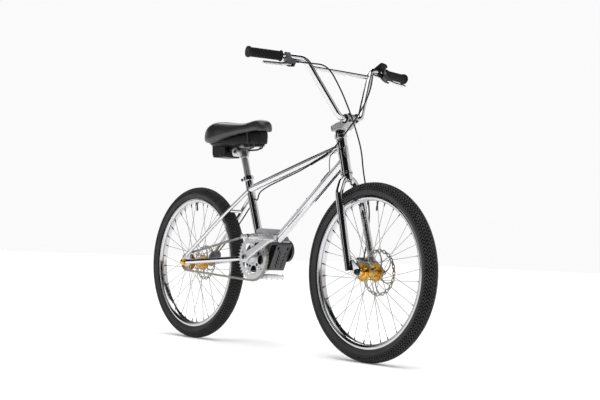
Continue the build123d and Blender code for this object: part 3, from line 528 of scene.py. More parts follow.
def make_spokes(end, center):
    wires, nipples = Build(), Build()
    for side, flange_y in flanges[end]:
        for number in range(spokes_per_flange):
            lead = 1 if number % 2 else -1
            step = tau / spokes_per_flange
            hub_angle = number * step + side * step / 4
            rim_angle = hub_angle + lead * cross_angle
            hub_out, _ = wheel_frame(hub_angle)
            rim_out, _ = wheel_frame(rim_angle)
            elbow = center + hub_out * flange_hole_radius + Y * (flange_y + lead * 2.3) * MM
            seat = center + rim_out * (rim_low + 2 * MM) + Y * side * 2.5 * MM
            other_face = elbow - Y * lead * 4.2 * MM
            way = (seat - elbow).normalized()
            bend = elbow + way * 2 * MM
            wires.sweep([other_face, elbow - Y * lead * 0.8 * MM, bend, seat], spoke_radius, 8)
            wires.rod(other_face, other_face - Y * lead * 1.2 * MM, 1.7 * MM, 10)
            nipples.rod(seat - way * 13 * MM, seat + way * 1 * MM, 1.9 * MM, 8, 0.4 * MM)
            nipples.rod(seat - way * 3.4 * MM, seat, 3.0 * MM, 12, 0.4 * MM)
    wire = wires.done(end + "_spoke_wires", stainless, end + "_wheel")
    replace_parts(wire, end + "_spokes")
    nipples.done(end + "_nipples", dark_steel, end + "_wheel")


def make_hub(end, center, ends):
    body = end + "_wheel"
    shell = Build()
    left, right = flanges[end][0][1], flanges[end][1][1]
    low, high = ends
    waist = []
    for k in range(9):
        share = k / 8
        waist.append(((right + (left - right) * share) * MM, (17.5 - 4.5 * sin(pi * share)) * MM))
    shell.lathe(center, Y, waist, 48)
    shell.lathe(center, Y, in_mm((low, 9), (low, 12), (low + 2, 14), (right - 5, 15), (right - 1.5, 18.5),
                                 (right, 18.5)), 48)
    shell.lathe(center, Y, in_mm((left, 18.5), (left + 1.5, 18.5), (left + 4, 15), (left + 6, 21),
                                 (left + 11, 21), (left + 11.5, 13), (high - 1, 12.5), (high, 9)), 48)
    parts = [shell.done(end + "_shell", gold_alloy, angle=30)]
    for side, flange_y in flanges[end]:
        loops = [ring_loop(32 * MM, 96), ring_loop(14 * MM, 40)]
        for k in range(6):
            turn = tau * (k + 0.5) / 6
            loops.append(ring_loop(3.4 * MM, 20, (22 * MM * cos(turn), 22 * MM * sin(turn))))
        parts.append(plate("flange", loops, center + Y * flange_y * MM, 3.6 * MM, gold_alloy, bevel=0.8 * MM,
                           right=X, up=Z))
    hub = joined(end + "_hub_shell", parts)
    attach(hub, body)
    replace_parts(hub, end + "_hub")


def make_rotor(end, center, radius, side_y):
    """A scalloped brake track with one round hole in each lobe, on six swept arms."""
    body = end + "_wheel"
    lobes = 20 if end == "front" else 18
    count = lobes * 16
    mid = radius - 7 * MM

    def wavy_loop(mean, wave):
        """A loop round the disc; both sizes are mm outward from the band's middle."""
        loop = []
        for k in range(count):
            turn = tau * k / count
            reach = mid + (mean + wave * cos(lobes * turn)) * MM
            loop.append((reach * cos(turn), reach * sin(turn)))
        return loop

    loops = [wavy_loop(5.6, 1.4), wavy_loop(-5.4, -1.6)]
    for k in range(lobes):
        turn = tau * k / lobes
        loops.append(ring_loop(3.7 * MM, 20, (mid * cos(turn), mid * sin(turn))))
    middle = center + Y * side_y * MM
    track = plate("track", loops, middle, 1.8 * MM, stainless, bevel=0.15 * MM, resolution=1)
    arms = []
    for k in range(6):
        start = tau * k / 6
        line = []
        for j in range(9):
            share = j / 8
            turn = start + 0.62 * share ** 1.3
            reach = (20 * MM) + (mid - 3 * MM - 20 * MM) * share
            half = (3.6 - 1.0 * sin(pi * share)) * MM / reach
            line.append((reach, turn, half))
        loop = [(r * cos(t - h), r * sin(t - h)) for r, t, h in line]
        loop += [(r * cos(t + h), r * sin(t + h)) for r, t, h in reversed(line)]
        arms.append(plate("arm", [loop], middle, 1.7 * MM, stainless, bevel=0.15 * MM, resolution=1))
    carrier = plate("carrier", [ring_loop(24 * MM, 60), ring_loop(14.2 * MM, 40)], middle, 1.75 * MM,
                    stainless, bevel=0.15 * MM, resolution=1)
    disc = joined(end + "_brake_disc", [track, carrier] + arms)
    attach(disc, body)
    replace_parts(disc, end + "_rotor")
    bolts = Build()
    for k in range(6):
        away, _ = wheel_frame(tau * (k + 0.5) / 6)
        at = middle + away * 18.5 * MM
        bolts.rod(at + Y * 0.8 * MM, at + Y * 2.6 * MM, 3.2 * MM, 14, 0.4 * MM)
    bolts.done(end + "_disc_bolts", dark_steel, body)


def make_valve(end, center, angle):
    away, _ = wheel_frame(radians(angle))
    top = center + away * (rim_low + 1 * MM)
    build = Build()
    build.lathe(top, -away, in_mm((0, 4.2), (2, 4.2), (5, 3.2), (17, 2.8), (17.2, 3.9), (28, 3.9), (30, 3.0),
                                  (33, 2.4)), 20)
    stem = build.done(end + "_valve_cap", gloss_black, end + "_wheel", angle=30)
    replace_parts(stem, end + "_valve")


wheel_ends = {"front": (-49.5, 49.5), "rear": (-38.0, 54.5)}
disc_sizes = {"front": (80 * MM, 40.0), "rear": (70 * MM, 41.0)}
valve_angles = {"front": 84.0, "rear": 94.0}
for end, center in (("front", front_axle), ("rear", rear_axle)):
    make_tyre(end, center)
    make_rim(end, center)
    make_spokes(end, center)
    make_hub(end, center, wheel_ends[end])
    make_rotor(end, center, *disc_sizes[end])
    make_valve(end, center, valve_angles[end])


def hex_nut(build, center, y_from, y_to, across_flats):
    """A six-sided nut with turned corners, along Y."""
    sign = 1 if y_to > y_from else -1
    build.lathe(center + Y * y_from * MM, Y * sign, in_mm((0, across_flats * 0.62),
                                                          (1.6, across_flats * 0.62)), 28)
    build.lathe(center + Y * (y_from + sign * 1.6) * MM, Y * sign,
                in_mm((0, across_flats * 0.577), (abs(y_to - y_from) - 2.6, across_flats * 0.577),
                      (abs(y_to - y_from) - 1.6, across_flats * 0.5)), 6)


def make_axles():
    front = Build()
    front.rod(front_axle - Y * 66 * MM, front_axle + Y * 66 * MM, 5 * MM, 20, 0.6 * MM)
    for side in (-1, 1):
        hex_nut(front, front_axle, side * 56.2, side * 66, 17)
    nut = front.done("front_axle_nuts", dark_steel, "steering", angle=25)
    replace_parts(nut, "front_axle")
    rear = Build()
    rear.rod(rear_axle - Y * 70 * MM, rear_axle + Y * 74 * MM, 5 * MM, 20, 0.6 * MM)
    hex_nut(rear, rear_axle, 61.2, 71, 17)
    rod = rear.done("rear_axle_rod", dark_steel, "frame", angle=25)
    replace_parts(rod, "rear_axle")
    dome = Build()
    dome.lathe(rear_axle - Y * 61.2 * MM, -Y,
               in_mm((0, 12), (2.4, 12.4), (3, 11.2), (10, 11.2), (12.4, 10.4), (15.4, 7.6), (17, 3.8),
                     (17.4, 0.5)), 40)
    dome.done("rear_gold_nut", gold_alloy, "frame", angle=30)


make_axles()

# ---- frame: chrome tubes with their weld beads

dress(["head_tube", "top_tube", "down_tube", "seat_tube", "bb_shell", "chain_stays", "seat_stays"], chrome)
dress(["rear_dropouts", "bottle_bosses"], chrome, 0.5 * MM)
dress(["headset_cups", "seat_collar"], chrome, 0.8 * MM)
top_tube_radius, down_tube_radius, seat_tube_radius, head_tube_radius = 14.3, 17.0, 15.9, 18.5
seat_top = on_seat_tube(321)
top_tube_low, top_tube_high = on_seat_tube(273), on_steering(456)
down_tube_high = on_steering(402)


def weld(build, tube_start, tube_toward, tube_radius, post_point, post_way, post_radius, bead_radius=1.5):
    """A bead where a tube, coming from tube_start, meets a round post."""
    way = (tube_toward - tube_start).normalized()
    first, second = across(way)
    ring = []
    for k in range(40):
        turn = tau * k / 40
        start = tube_start + (first * cos(turn) + second * sin(turn)) * tube_radius * MM
        gap = start - post_point
        flat_gap = gap - post_way * gap.dot(post_way)
        flat_way = way - post_way * way.dot(post_way)
        a, b = flat_way.dot(flat_way), 2 * flat_gap.dot(flat_way)
        c = flat_gap.dot(flat_gap) - (post_radius * MM) ** 2
        inside = max(b * b - 4 * a * c, 0)
        ring.append(start + way * (-b - sqrt(inside)) / (2 * a))
    build.sweep(ring, bead_radius * MM, 8, closed=True)


welds = Build()
weld(welds, bracket, down_tube_high, down_tube_radius, steer_foot, steer_up, head_tube_radius)
weld(welds, top_tube_low, top_tube_high, top_tube_radius, steer_foot, steer_up, head_tube_radius)
weld(welds, top_tube_high, top_tube_low, top_tube_radius, bracket, seat_up, seat_tube_radius)
weld(welds, seat_top, bracket, seat_tube_radius, bracket, Y, 24)
welds.done("weld_beads", chrome, "frame")

rings = Build()
for height, lip in ((483, 16), (363, -8)):
    for share in (0.25, 0.8):
        at = on_steering(height + lip * share)
        rings.lathe(at - steer_up * 0.8 * MM, steer_up, in_mm((0, 21.6), (0.3, 22.5), (1.3, 22.5),
                                                              (1.6, 21.6)), 48)
rings.done("headset_rings", chrome, "frame", angle=30)

badge = Build()
rows, columns = 6, 24
badge_verts, badge_faces = [], []
for row in range(rows + 1):
    share = row / rows
    for column in range(columns):
        turn = tau * column / columns
        up = sin(turn) * 24 * share * MM
        side = cos(turn) * 15 * share
        wrap = side / 18.9
        lift = 18.75 + 1.1 * (1 - share ** 4)
        badge_verts.append(on_steering(429, lift * cos(wrap), lift * sin(wrap)) + steer_up * up)
for row in range(rows):
    for column in range(columns):
        after = (column + 1) % columns
        here, there = row * columns, (row + 1) * columns
        badge_faces.append((here + column, here + after, there + after, there + column))
badge.add(badge_verts, badge_faces)
badge.done("head_badge", satin_alloy, "frame", angle=60)

collar = Build()
collar_bolt = seat_top + mm(-22, 0, -8)
collar.rod(collar_bolt - Y * 14 * MM, collar_bolt + Y * 14 * MM, 3.2 * MM, 16, 0.5 * MM)
collar.rod(collar_bolt - Y * 15 * MM, collar_bolt - Y * 9.2 * MM, 5 * MM, 20, 0.8 * MM)
collar.rod(collar_bolt + Y * 9.2 * MM, collar_bolt + Y * 14 * MM, 5.4 * MM, 6, 0.5 * MM)
collar.done("collar_bolt", gloss_black, "frame", angle=30)

# ---- fork

dress(["fork"], chrome)
dress(["fork_dropouts"], chrome, 0.8 * MM)
dress(["crown_race"], dark_steel)
fork_details = Build()
fork_details.rod(on_steering(327, 10), on_steering(319, 22), 6.5 * MM, 20, 0.8 * MM)
fork_details.done("crown_bolt", chrome, "steering", angle=30)

# ---- stem

stem_low, bar_height, stem_reach = 499, 535, 57
bar_center = on_steering(bar_height, stem_reach)


def steering_plate(name, outline, thickness, stuff, bevel=0.0012):
    """A plate in the bicycle's plane; its outline is (ahead, height) in mm, along the steering axis."""
    loop = [(a * MM, h * MM) for a, h in outline]
    return plate(name, [loop], steer_foot, thickness * MM, stuff, bevel=bevel, right=steer_ahead, up=steer_up)


def make_stem():
    block = [(-21, stem_low + 17), (-10, stem_low + 14), (18, stem_low + 12), (31, stem_low + 6),
             (44, stem_low + 10)]
    for k in range(13):
        turn = radians(-112 + 176 * k / 12)
        block.append((stem_reach + 18.2 * cos(turn), bar_height + 18.2 * sin(turn)))
    block += [(47, bar_height + 17), (30, stem_low + 37), (-19, stem_low + 37), (-22, stem_low + 32)]
    core = steering_plate("stem_core", block, 46, light_alloy, 2.4 * MM)
    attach(core, "steering")
    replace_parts(core, "stem", "stem_face_plate")
    parts = Build()
    for side in (-1, 1):
        parts.lathe(bar_center + Y * side * 23 * MM, Y * side, in_mm((0, 11.3), (0, 17), (1.4, 16),
                                                                     (1.8, 11.3)), 40)
        for rise in (-12, 12):
            at = on_steering(bar_height + rise, stem_reach + 11, side * 16)
            parts.rod(at, at + steer_ahead * 9.6 * MM, 3.9 * MM, 16, 0.6 * MM)
        at = on_steering(stem_low + 25, -20.5, side * 11)
        parts.rod(at, at - steer_ahead * 3.2 * MM, 4.2 * MM, 16, 0.6 * MM)
    bolts = parts.done("stem_screws", dark_steel, "steering", angle=30)
    spacer = Build()
    spacer.rod(on_steering(stem_low + 0.5), on_steering(stem_low + 13), 17.2 * MM, 40, 0.8 * MM)
    spacer.done("stem_spacer", gloss_black, "steering", angle=30)
    cap = Build()
    cap.lathe(on_steering(stem_low + 37.4), steer_up, in_mm((0, 16.6), (2.6, 16.6), (4.2, 14.6), (4.4, 5),
                                                            (3, 4)), 40)
    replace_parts(cap.done("stem_cap", gloss_black, "steering", angle=30), "stem_bolts")

make_stem()

# ---- handlebar and grips

dress(["handlebar"], chrome)
bar_welds = Build()
bend_low = bar_center + mm(0, 46, 0)
bend_high = bar_center + mm(-69, 152, 195)
bar_tip = bar_center + mm(-115, 365, 196)
leg_way = (bend_high - bend_low).normalized()
cross_height = 167 * MM
cross_at = bend_low + (bend_high - bend_low) * (cross_height / (bend_high - bend_low).z)


for side in (1, -1):
    post = cross_at if side > 0 else flipped(cross_at)
    way = leg_way if side > 0 else flipped(leg_way)
    middle = Vector((post.x, 0, post.z))
    weld(bar_welds, middle, post, 8, post, way, 11.1, 1.3)
bar_welds.done("bar_welds", chrome, "steering")


def make_grip(side):
    tip = bar_tip if side > 0 else flipped(bar_tip)
    corner = bend_high if side > 0 else flipped(bend_high)
    way = (tip - corner).normalized()
    length = 125 * MM
    start = tip - way * length
    profile = in_mm((0, 11.3), (0, 18.2), (0.8, 19), (2.8, 19), (3.6, 18.2), (4, 15.4))
    pitch = 2.6 * MM
    ribs = int((length - 14 * MM) / pitch)
    for k in range(ribs):
        at = 5 * MM + k * pitch
        profile += [(at, 15.1 * MM), (at + pitch * 0.2, 16.0 * MM), (at + pitch * 0.62, 16.0 * MM),
                    (at + pitch * 0.8, 15.1 * MM)]
    profile += [(length - 8 * MM, 15.4 * MM), (length - 7.4 * MM, 18.4 * MM), (length - 6.6 * MM, 19 * MM),
                (length - 0.4 * MM, 19 * MM), (length + 1.0 * MM, 18 * MM), (length + 1.6 * MM, 15 * MM),
                (length + 1.0 * MM, 8 * MM), (length + 1.0 * MM, 0.4 * MM)]
    build = Build()
    build.lathe(start, way, profile, 56)
    return build.done("grip_left_rubber" if side > 0 else "grip_right_rubber", grip_rubber, "steering",
                      angle=30)


grip_left = make_grip(1)
make_grip(-1)
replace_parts(grip_left, "grips")

# ---- levers, throttle, display and calipers keep their CAD shapes

dress(["lever_bodies", "front_caliper", "rear_caliper"], black_alloy, 1.0 * MM)
dress(["lever_blade_right", "lever_blade_left"], satin_alloy, 1.4 * MM)
dress(["throttle_body", "throttle_paddle"], black_plastic, 0.5 * MM)
dress(["display"], black_plastic, 1.0 * MM)

# ---- motor

dress(["motor_housing"], motor_grey, 1.5 * MM)
dress(["motor_end_cover"], gloss_black, 0.5 * MM)
dress(["motor_top_shell"], light_alloy, 2.0 * MM)

cover_low, cover_high = mm(-24, 7.4, 287), mm(24, 7.4, 389)
cover_up = (cover_high - cover_low).normalized()
cover_out = Vector((cover_up.z, 0, -cover_up.x))
cover_middle = (cover_low + cover_high) / 2 + cover_out * 0.1 * MM


def long_hole(y, z, length, width, lean):
    """An outline of a rounded slot on the cover, leaning by so many degrees."""
    way = Vector((cos(radians(lean)), sin(radians(lean))))
    side = Vector((-way.y, way.x))
    points = []
    for end in (1, -1):
        for k in range(7):
            turn = -pi / 2 + pi * k / 6
            along = length / 2 - width / 2 + cos(turn) * width / 2
            at = (way * along + side * sin(turn) * width / 2) * end
            points.append(((y + at.x) * MM, (z + at.y) * MM))
    return points


def make_motor_cover():
    outline = [(-23, -45), (-18, -50), (38, -50), (45, -40), (45, 44), (39, 50), (-17, 50), (-23, 44)]
    holes = [long_hole(-11, 35, 13, 8, 80), long_hole(33, 35, 13, 8, 80)]
    for row in range(5):
        holes.append(long_hole(2, 18 - 13.5 * row, 19, 4, -52))
        holes.append(long_hole(27, 14 - 13.5 * row, 11, 3.6, 48))
    outline = [(y * MM, z * MM) for y, z in outline]
    face = plate("motor_face", [outline] + holes, cover_middle + cover_out * 2.4 * MM, 3.2 * MM, motor_grey,
                 bevel=0.7 * MM, right=Y, up=cover_up)
    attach(face, "frame")
    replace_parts(face, "motor_cover")
    backing = [(-46, -44), (-40, -50), (36, -50), (43, -40), (43, 42), (37, 48), (-40, 48), (-46, 42)]
    backing = [(y * MM, z * MM) for y, z in backing]
    # a near-black sheet just behind the cover, seen through its slots as painted shade in them
    plate("motor_slot_shade_sheet", [backing], cover_middle + cover_out * 0.6 * MM, 0.9 * MM, groove_shade_and_lid_black, "frame",
          right=Y, up=cover_up)
    case = Build()
    case.lathe(bracket - Y * 43.3 * MM, -Y, in_mm((0, 47), (1.2, 46), (1.3, 24)), 56)
    case.done("gear_case_lid", groove_shade_and_lid_black, "frame", angle=30)


make_motor_cover()

# ---- drive

ring_teeth, cog_teeth, chain_pitch = 42, 16, 12.7 * MM
chain_y = -48.0
ring_pitch_radius = chain_pitch / (2 * sin(pi / ring_teeth))
cog_pitch_radius = chain_pitch / (2 * sin(pi / cog_teeth))
roller_radius = 3.85 * MM
to_cog = (rear_axle - bracket).normalized()
cog_direction = atan2(to_cog.z, to_cog.x)


def toothed_loop(teeth, pitch_radius, valley_angle):
    root = pitch_radius - roller_radius - 0.45 * MM
    tip = pitch_radius + 3.5 * MM
    loop = []
    for number in range(teeth):
        middle = valley_angle + (number + 0.5) * tau / teeth
        for radius, half in ((root, -2.9), (pitch_radius - 1.5 * MM, -2.25), (pitch_radius + 1 * MM, -1.9),
                             (tip, -0.8), (tip, 0.8), (pitch_radius + 1 * MM, 1.9),
                             (pitch_radius - 1.5 * MM, 2.25), (root, 2.9)):
            turn = middle + half * MM / radius
            loop.append((radius * cos(turn), radius * sin(turn)))
    return loop


crank_angle = atan2(joint_point("right_pedal_spin").z - bracket.z,
                    joint_point("right_pedal_spin").x - bracket.x)


def make_chainring():
    loops = [toothed_loop(ring_teeth, ring_pitch_radius, cog_direction + pi), ring_loop(12.2 * MM, 40)]
    for k in range(5):
        turn = crank_angle + tau * (k + 0.5) / 5
        loops.append(ring_loop(17.5 * MM, 48, (47 * MM * cos(turn), 47 * MM * sin(turn))))
        side = crank_angle + tau * k / 5
        for lean in (-0.115, 0.115):
            slot_turn = side + lean
            loops.append(ring_loop(4.2 * MM, 20, (66 * MM * cos(slot_turn), 66 * MM * sin(slot_turn))))
        loops.append(ring_loop(6 * MM, 24, (36 * MM * cos(side), 36 * MM * sin(side))))
    disc = plate("ring_disc", loops, bracket + Y * chain_y * MM, 2.6 * MM, satin_alloy, bevel=0.4 * MM)
    lip = Build()
    lip.lathe(bracket + Y * (chain_y - 1.2) * MM, -Y, in_mm((0, 27), (2, 26), (24, 23), (27.5, 21)), 48)
    ring = joined("chainring_disc", [disc, lip.done("boss", satin_alloy, angle=40)])
    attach(ring, "crank")
    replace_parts(ring, "chainring")
    bolts = Build()
    for k in range(5):
        away, _ = wheel_frame(crank_angle + tau * k / 5)
        at = bracket + away * 52 * MM + Y * (chain_y - 1) * MM
        bolts.rod(at, at - Y * 2.6 * MM, 4.6 * MM, 20, 0.5 * MM)
    bolts.done("ring_bolts", chrome, "crank", angle=30)


def make_cog():
    loops = [toothed_loop(cog_teeth, cog_pitch_radius, cog_direction), ring_loop(5.1 * MM, 32)]
    disc = plate("cog_disc", loops, rear_axle + Y * chain_y * MM, 2.4 * MM, chain_steel, bevel=0.3 * MM)
    core = Build()
    core.lathe(rear_axle + Y * (chain_y - 3.4) * MM, Y, in_mm((0, 16), (0.6, 19), (2, 20), (12, 20),
                                                              (12.6, 18)), 40)
    cog = joined("rear_cog_disc", [disc, core.done("core", gold_alloy, angle=30)])
    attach(cog, "freewheel")
    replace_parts(cog, "rear_cog")


tangent = acos((ring_pitch_radius - cog_pitch_radius) / (rear_axle - bracket).length)


def turned_from(angle):
    return X * cos(cog_direction + angle) + Z * sin(cog_direction + angle)


def chain_points():
    """Roller centres once round the loop: over the ring, along the top, round the cog and back."""
    ring_step, cog_step = tau / ring_teeth, tau / cog_teeth
    ring_count, cog_count = int((pi - tangent) / ring_step), int(tangent / cog_step)
    ring_places = range(-ring_count, ring_count + 1)
    cog_places = range(-cog_count, cog_count + 1)
    points = [bracket + turned_from(pi + k * ring_step) * ring_pitch_radius for k in ring_places]

    def run(side):
        ring_rest = (pi - tangent - ring_count * ring_step) * ring_pitch_radius
        cog_rest = (tangent - cog_count * cog_step) * cog_pitch_radius
        leave = bracket + turned_from(side * tangent) * ring_pitch_radius
        reach = rear_axle + turned_from(side * tangent) * cog_pitch_radius
        straight = (reach - leave).length
        whole = ring_rest + straight + cog_rest
        count = round(whole / chain_pitch)
        found = []
        for number in range(1, count):
            along = whole * number / count
            if along < ring_rest:
                back = (ring_rest - along) / ring_pitch_radius
                found.append(bracket + turned_from(side * (tangent + back)) * ring_pitch_radius)
            elif along < ring_rest + straight:
                found.append(leave + (reach - leave).normalized() * (along - ring_rest))
            else:
                past = (along - ring_rest - straight) / cog_pitch_radius
                found.append(rear_axle + turned_from(side * (tangent - past)) * cog_pitch_radius)
        return found

    points += run(-1)
    points += [rear_axle + turned_from(k * cog_step) * cog_pitch_radius for k in cog_places]
    points += run(1)[::-1]
    return points


def make_chain():
    points = chain_points()
    build = Build()
    count = len(points)
    for index, point in enumerate(points):
        after = points[(index + 1) % count]
        way = (after - point).normalized()
        up = way.cross(Y)
        outer = index % 2
        for side in (-1, 1):
            level_y = (chain_y + side * (3.55 if outer else 2.75)) * MM
            thick = 0.38 * MM
            outline = []
            length = (after - point).length
            for a in range(7):
                turn = pi / 2 + pi * a / 6
                outline.append((cos(turn) * 4.15 * MM, sin(turn) * 4.15 * MM))
            outline.append((length / 2, -2.9 * MM))
            for a in range(7):
                turn = -pi / 2 + pi * a / 6
                outline.append((length + cos(turn) * 4.15 * MM, sin(turn) * 4.15 * MM))
            outline.append((length / 2, 2.9 * MM))
            size = len(outline)
            verts = []
            for lift in (-thick, thick):
                verts += [Vector((point.x, level_y + lift, point.z)) + way * a + up * b for a, b in outline]
            faces = [tuple(range(size)), tuple(range(size, 2 * size))]
            faces += [(k, (k + 1) % size, size + (k + 1) % size, size + k) for k in range(size)]
            build.add(verts, faces)
        center = Vector((point.x, chain_y * MM, point.z))
        build.rod(center - Y * 2.35 * MM, center + Y * 2.35 * MM, 3.8 * MM, 12)
        build.rod(center - Y * 4.1 * MM, center + Y * 4.1 * MM, 1.8 * MM, 8, 0.3 * MM)
    chain = build.done("chain_links", chain_steel, "frame", angle=30)
    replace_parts(chain, "chain")


def make_cranks():
    parts = []
    arm_y, thick = 84.0, 13.0
    for side in (-1, 1):
        end = joint_point("right_pedal_spin" if side < 0 else "left_pedal_spin")
        way = (end - bracket).normalized()
        length = (end - bracket).length
        outline = []
        for k in range(13):
            turn = pi / 2 + pi * k / 12
            outline.append((cos(turn) * 19 * MM, sin(turn) * 19 * MM))
        outline += [(24 * MM, -15 * MM), (length * 0.5, -11.5 * MM), (length - 22 * MM, -11 * MM)]
        for k in range(13):
            turn = -pi / 2 + pi * k / 12
            outline.append((length + cos(turn) * 13.5 * MM, sin(turn) * 13.5 * MM))
        outline += [(length - 22 * MM, 11 * MM), (length * 0.5, 11.5 * MM), (24 * MM, 15 * MM)]
        arm = plate("arm", [outline], bracket + Y * side * arm_y * MM, thick * MM, satin_alloy,
                    bevel=3.2 * MM, right=way, up=way.cross(Y) * -1, resolution=3)
        parts.append(arm)
        build = Build()
        build.rod(bracket + Y * side * 91 * MM, bracket + Y * side * 94 * MM, 12.5 * MM, 32, 1 * MM)
        build.rod(end + Y * side * 90 * MM, end + Y * side * 196 * MM, 5.6 * MM, 20, 0.6 * MM)
        build.rod(end + Y * side * 90.5 * MM, end + Y * side * 95.5 * MM, 8.2 * MM, 6)
        parts.append(build.done("ends", satin_alloy, angle=30))
    spindle = Build()
    spindle.rod(bracket - Y * 80 * MM, bracket + Y * 80 * MM, 12 * MM, 32)
    parts.append(spindle.done("spindle", dark_steel, angle=30))
    cranks = joined("crank_arms", parts)
    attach(cranks, "crank")
    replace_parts(cranks, "cranks")
    bolts = Build()
    for side in (-1, 1):
        bolts.rod(bracket + Y * side * 93.6 * MM, bracket + Y * side * 95.4 * MM, 8.5 * MM, 28, 0.8 * MM)
        bolts.rod(bracket + Y * side * 94 * MM, bracket + Y * side * 96 * MM, 4.2 * MM, 6)
    bolts.done("crank_bolts", dark_steel, "crank", angle=25)


def make_pedal(side):
    name = "pedal_left" if side > 0 else "pedal_right"
    body = "left_pedal" if side > 0 else "right_pedal"
    end = joint_point("left_pedal_spin" if side > 0 else "right_pedal_spin")
    middle = end + Y * side * (94 + 50) * MM
    half_w, half_l = 48 * MM, 50 * MM
    outline = [(-half_w + 10 * MM, -half_l), (half_w - 10 * MM, -half_l), (half_w - 3 * MM, -half_l + 6 * MM),
               (half_w, -half_l + 18 * MM), (half_w - 3 * MM, 0), (half_w, half_l - 18 * MM),
               (half_w - 3 * MM, half_l - 6 * MM), (half_w - 10 * MM, half_l), (-half_w + 10 * MM, half_l),
               (-half_w + 3 * MM, half_l - 6 * MM), (-half_w, half_l - 18 * MM), (-half_w + 3 * MM, 0),
               (-half_w, -half_l + 18 * MM), (-half_w + 3 * MM, -half_l + 6 * MM)]
    loops = [outline]
    for front in (-1, 1):
        for low, high in ((-40, -3), (3, 40)):
            a, b = sorted((front * 14 * MM, front * 40 * MM))
            near, far, cut = low * MM, high * MM, 4 * MM
            loops.append([(a, near + cut), (a + cut, near), (b - cut, near), (b, near + cut),
                          (b, far - cut), (b - cut, far), (a + cut, far), (a, far - cut)])
    frame_plate = plate("platform", loops, middle, 15 * MM, satin_alloy, bevel=1.2 * MM, right=X, up=Y)
    build = Build()
    build.lathe(end + Y * side * 94.2 * MM, Y * side, in_mm((0, 8.5), (1, 10.5), (60, 10.5), (98, 9),
                                                            (99.6, 7.6)), 32)
    pins = Build()
    for top in (-1, 1):
        for front in (-1, 1):
            for along in (-40, -14, 14, 40):
                at = middle + X * front * 43.2 * MM + Y * along * MM + Z * top * 7 * MM
                pins.rod(at, at + Z * top * 4 * MM, 1.7 * MM, 10, 0.4 * MM)
    cap = Build()
    cap.rod(end + Y * side * 193 * MM, end + Y * side * 195.6 * MM, 8.4 * MM, 28, 0.8 * MM)
    pedal = joined(name + "_platform", [frame_plate, build.done("barrel", satin_alloy, angle=30),
                                        pins.done("pins", stainless, angle=30),
                                        cap.done("cap", gloss_black, angle=30)])
    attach(pedal, body)
    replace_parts(pedal, name)


make_chainring()
make_cog()
make_chain()
make_cranks()
make_pedal(-1)
make_pedal(1)

# ---- seat

dress(["seat_post"], satin_alloy)
dress(["seat_clamp"], satin_alloy, 0.8 * MM)
dress(["saddle_rails"], rail_black)
dress(["seat_case"], black_plastic, 5.0 * MM)
dress(["battery_cells"], gloss_black)

# stations along the saddle: x, half width, skirt edge, crown height, centre dip (all mm)
saddle_stations = (
    (-384, 34, 778, 818, 0), (-380, 58, 771, 830, 0), (-370, 84, 766, 843, 1), (-354, 100, 763, 849, 2),
    (-334, 107, 762, 851, 4), (-310, 107, 764, 851, 5), (-282, 101, 770, 849, 5), (-252, 89, 780, 844, 5),
    (-222, 74, 790, 840, 5), (-192, 60, 797, 838, 4), (-162, 50, 801, 841, 3), (-134, 44, 805, 847, 2),
    (-110, 40, 806, 849, 1), (-93, 34, 803, 845, 0), (-82, 25, 799, 836, 0), (-75, 13, 797, 823, 0),
)


def saddle_ring(station, count=36):
    """One closed cross-section: over the top from side to side, then back underneath."""
    x, half, low, crown, dip = station
    ring = []
    over = count * 3 // 4
    waist = low + min(13, (crown - low) * 0.3)
    for k in range(over):
        turn = -0.62 + (pi + 1.24) * k / (over - 1)
        across_share = -cos(turn)
        lift = sin(turn)
        y = half * (abs(across_share) ** 0.8) * (1 if across_share > 0 else -1)
        if lift > 0:
            z = waist + (crown - waist) * (lift ** 0.72) - dip * max(0, 1 - (y / (half * 0.35)) ** 2)
        else:
            z = waist + lift * (waist - low) / 0.58
        ring.append(mm(x, y, z))
    under = count - over
    for k in range(under):
        share = (k + 1) / (under + 1)
        ring.append(mm(x, half * 0.8 * (1 - 2 * share), low + 5 + 6 * sin(pi * share)))
    return ring


def lofted(build, rings):
    base, count = len(build.verts), len(rings[0])
    for ring in rings:
        build.verts.extend(ring)
    for index in range(len(rings) - 1):
        here, there = base + index * count, base + (index + 1) * count
        for k in range(count):
            after = (k + 1) % count
            build.faces.append((here + k, here + after, there + after, there + k))
    build.faces.append(tuple(range(base, base + count)))
    build.faces.append(tuple(range(base + (len(rings) - 1) * count, base + len(rings) * count)))


def evaluated(obj):
    """The object's mesh with its modifiers applied."""
    bpy.context.view_layer.update()
    return bpy.data.meshes.new_from_object(obj.evaluated_get(bpy.context.evaluated_depsgraph_get()))


def inflated(obj, pressure=4.0, frames=20, reach=3.0 * MM):
    """Remeshes a closed soft piece and blows it up a little as cloth, holding each point near its start."""
    voxel = obj.modifiers.new("voxel", "REMESH")
    voxel.mode = "VOXEL"
    voxel.voxel_size = 5 * MM
    even = obj.modifiers.new("even", "SMOOTH")
    even.factor = 0.5
    even.iterations = 3
    start = evaluated(obj)
    obj.modifiers.clear()
    obj.data = start
    before = [v.co.copy() for v in start.vertices]
    cloth = obj.modifiers.new("cloth", "CLOTH")
    cloth.settings.use_pressure = True
    cloth.settings.uniform_pressure_force = pressure
    cloth.settings.quality = 4
    cloth.settings.tension_stiffness = 40
    cloth.settings.compression_stiffness = 40
    cloth.settings.effector_weights.gravity = 0
    cloth.collision_settings.use_collision = False
    cloth.point_cache.frame_start = 1
    cloth.point_cache.frame_end = frames
    scene = bpy.context.scene
    for number in range(1, frames + 1):
        scene.frame_set(number)
    swollen = evaluated(obj)
    obj.modifiers.clear()
    for vertex, home in zip(swollen.vertices, before):
        move = vertex.co - home
        if move.length > reach:
            vertex.co = home + move * (reach / move.length)
    obj.data = swollen
    scene.frame_set(1)


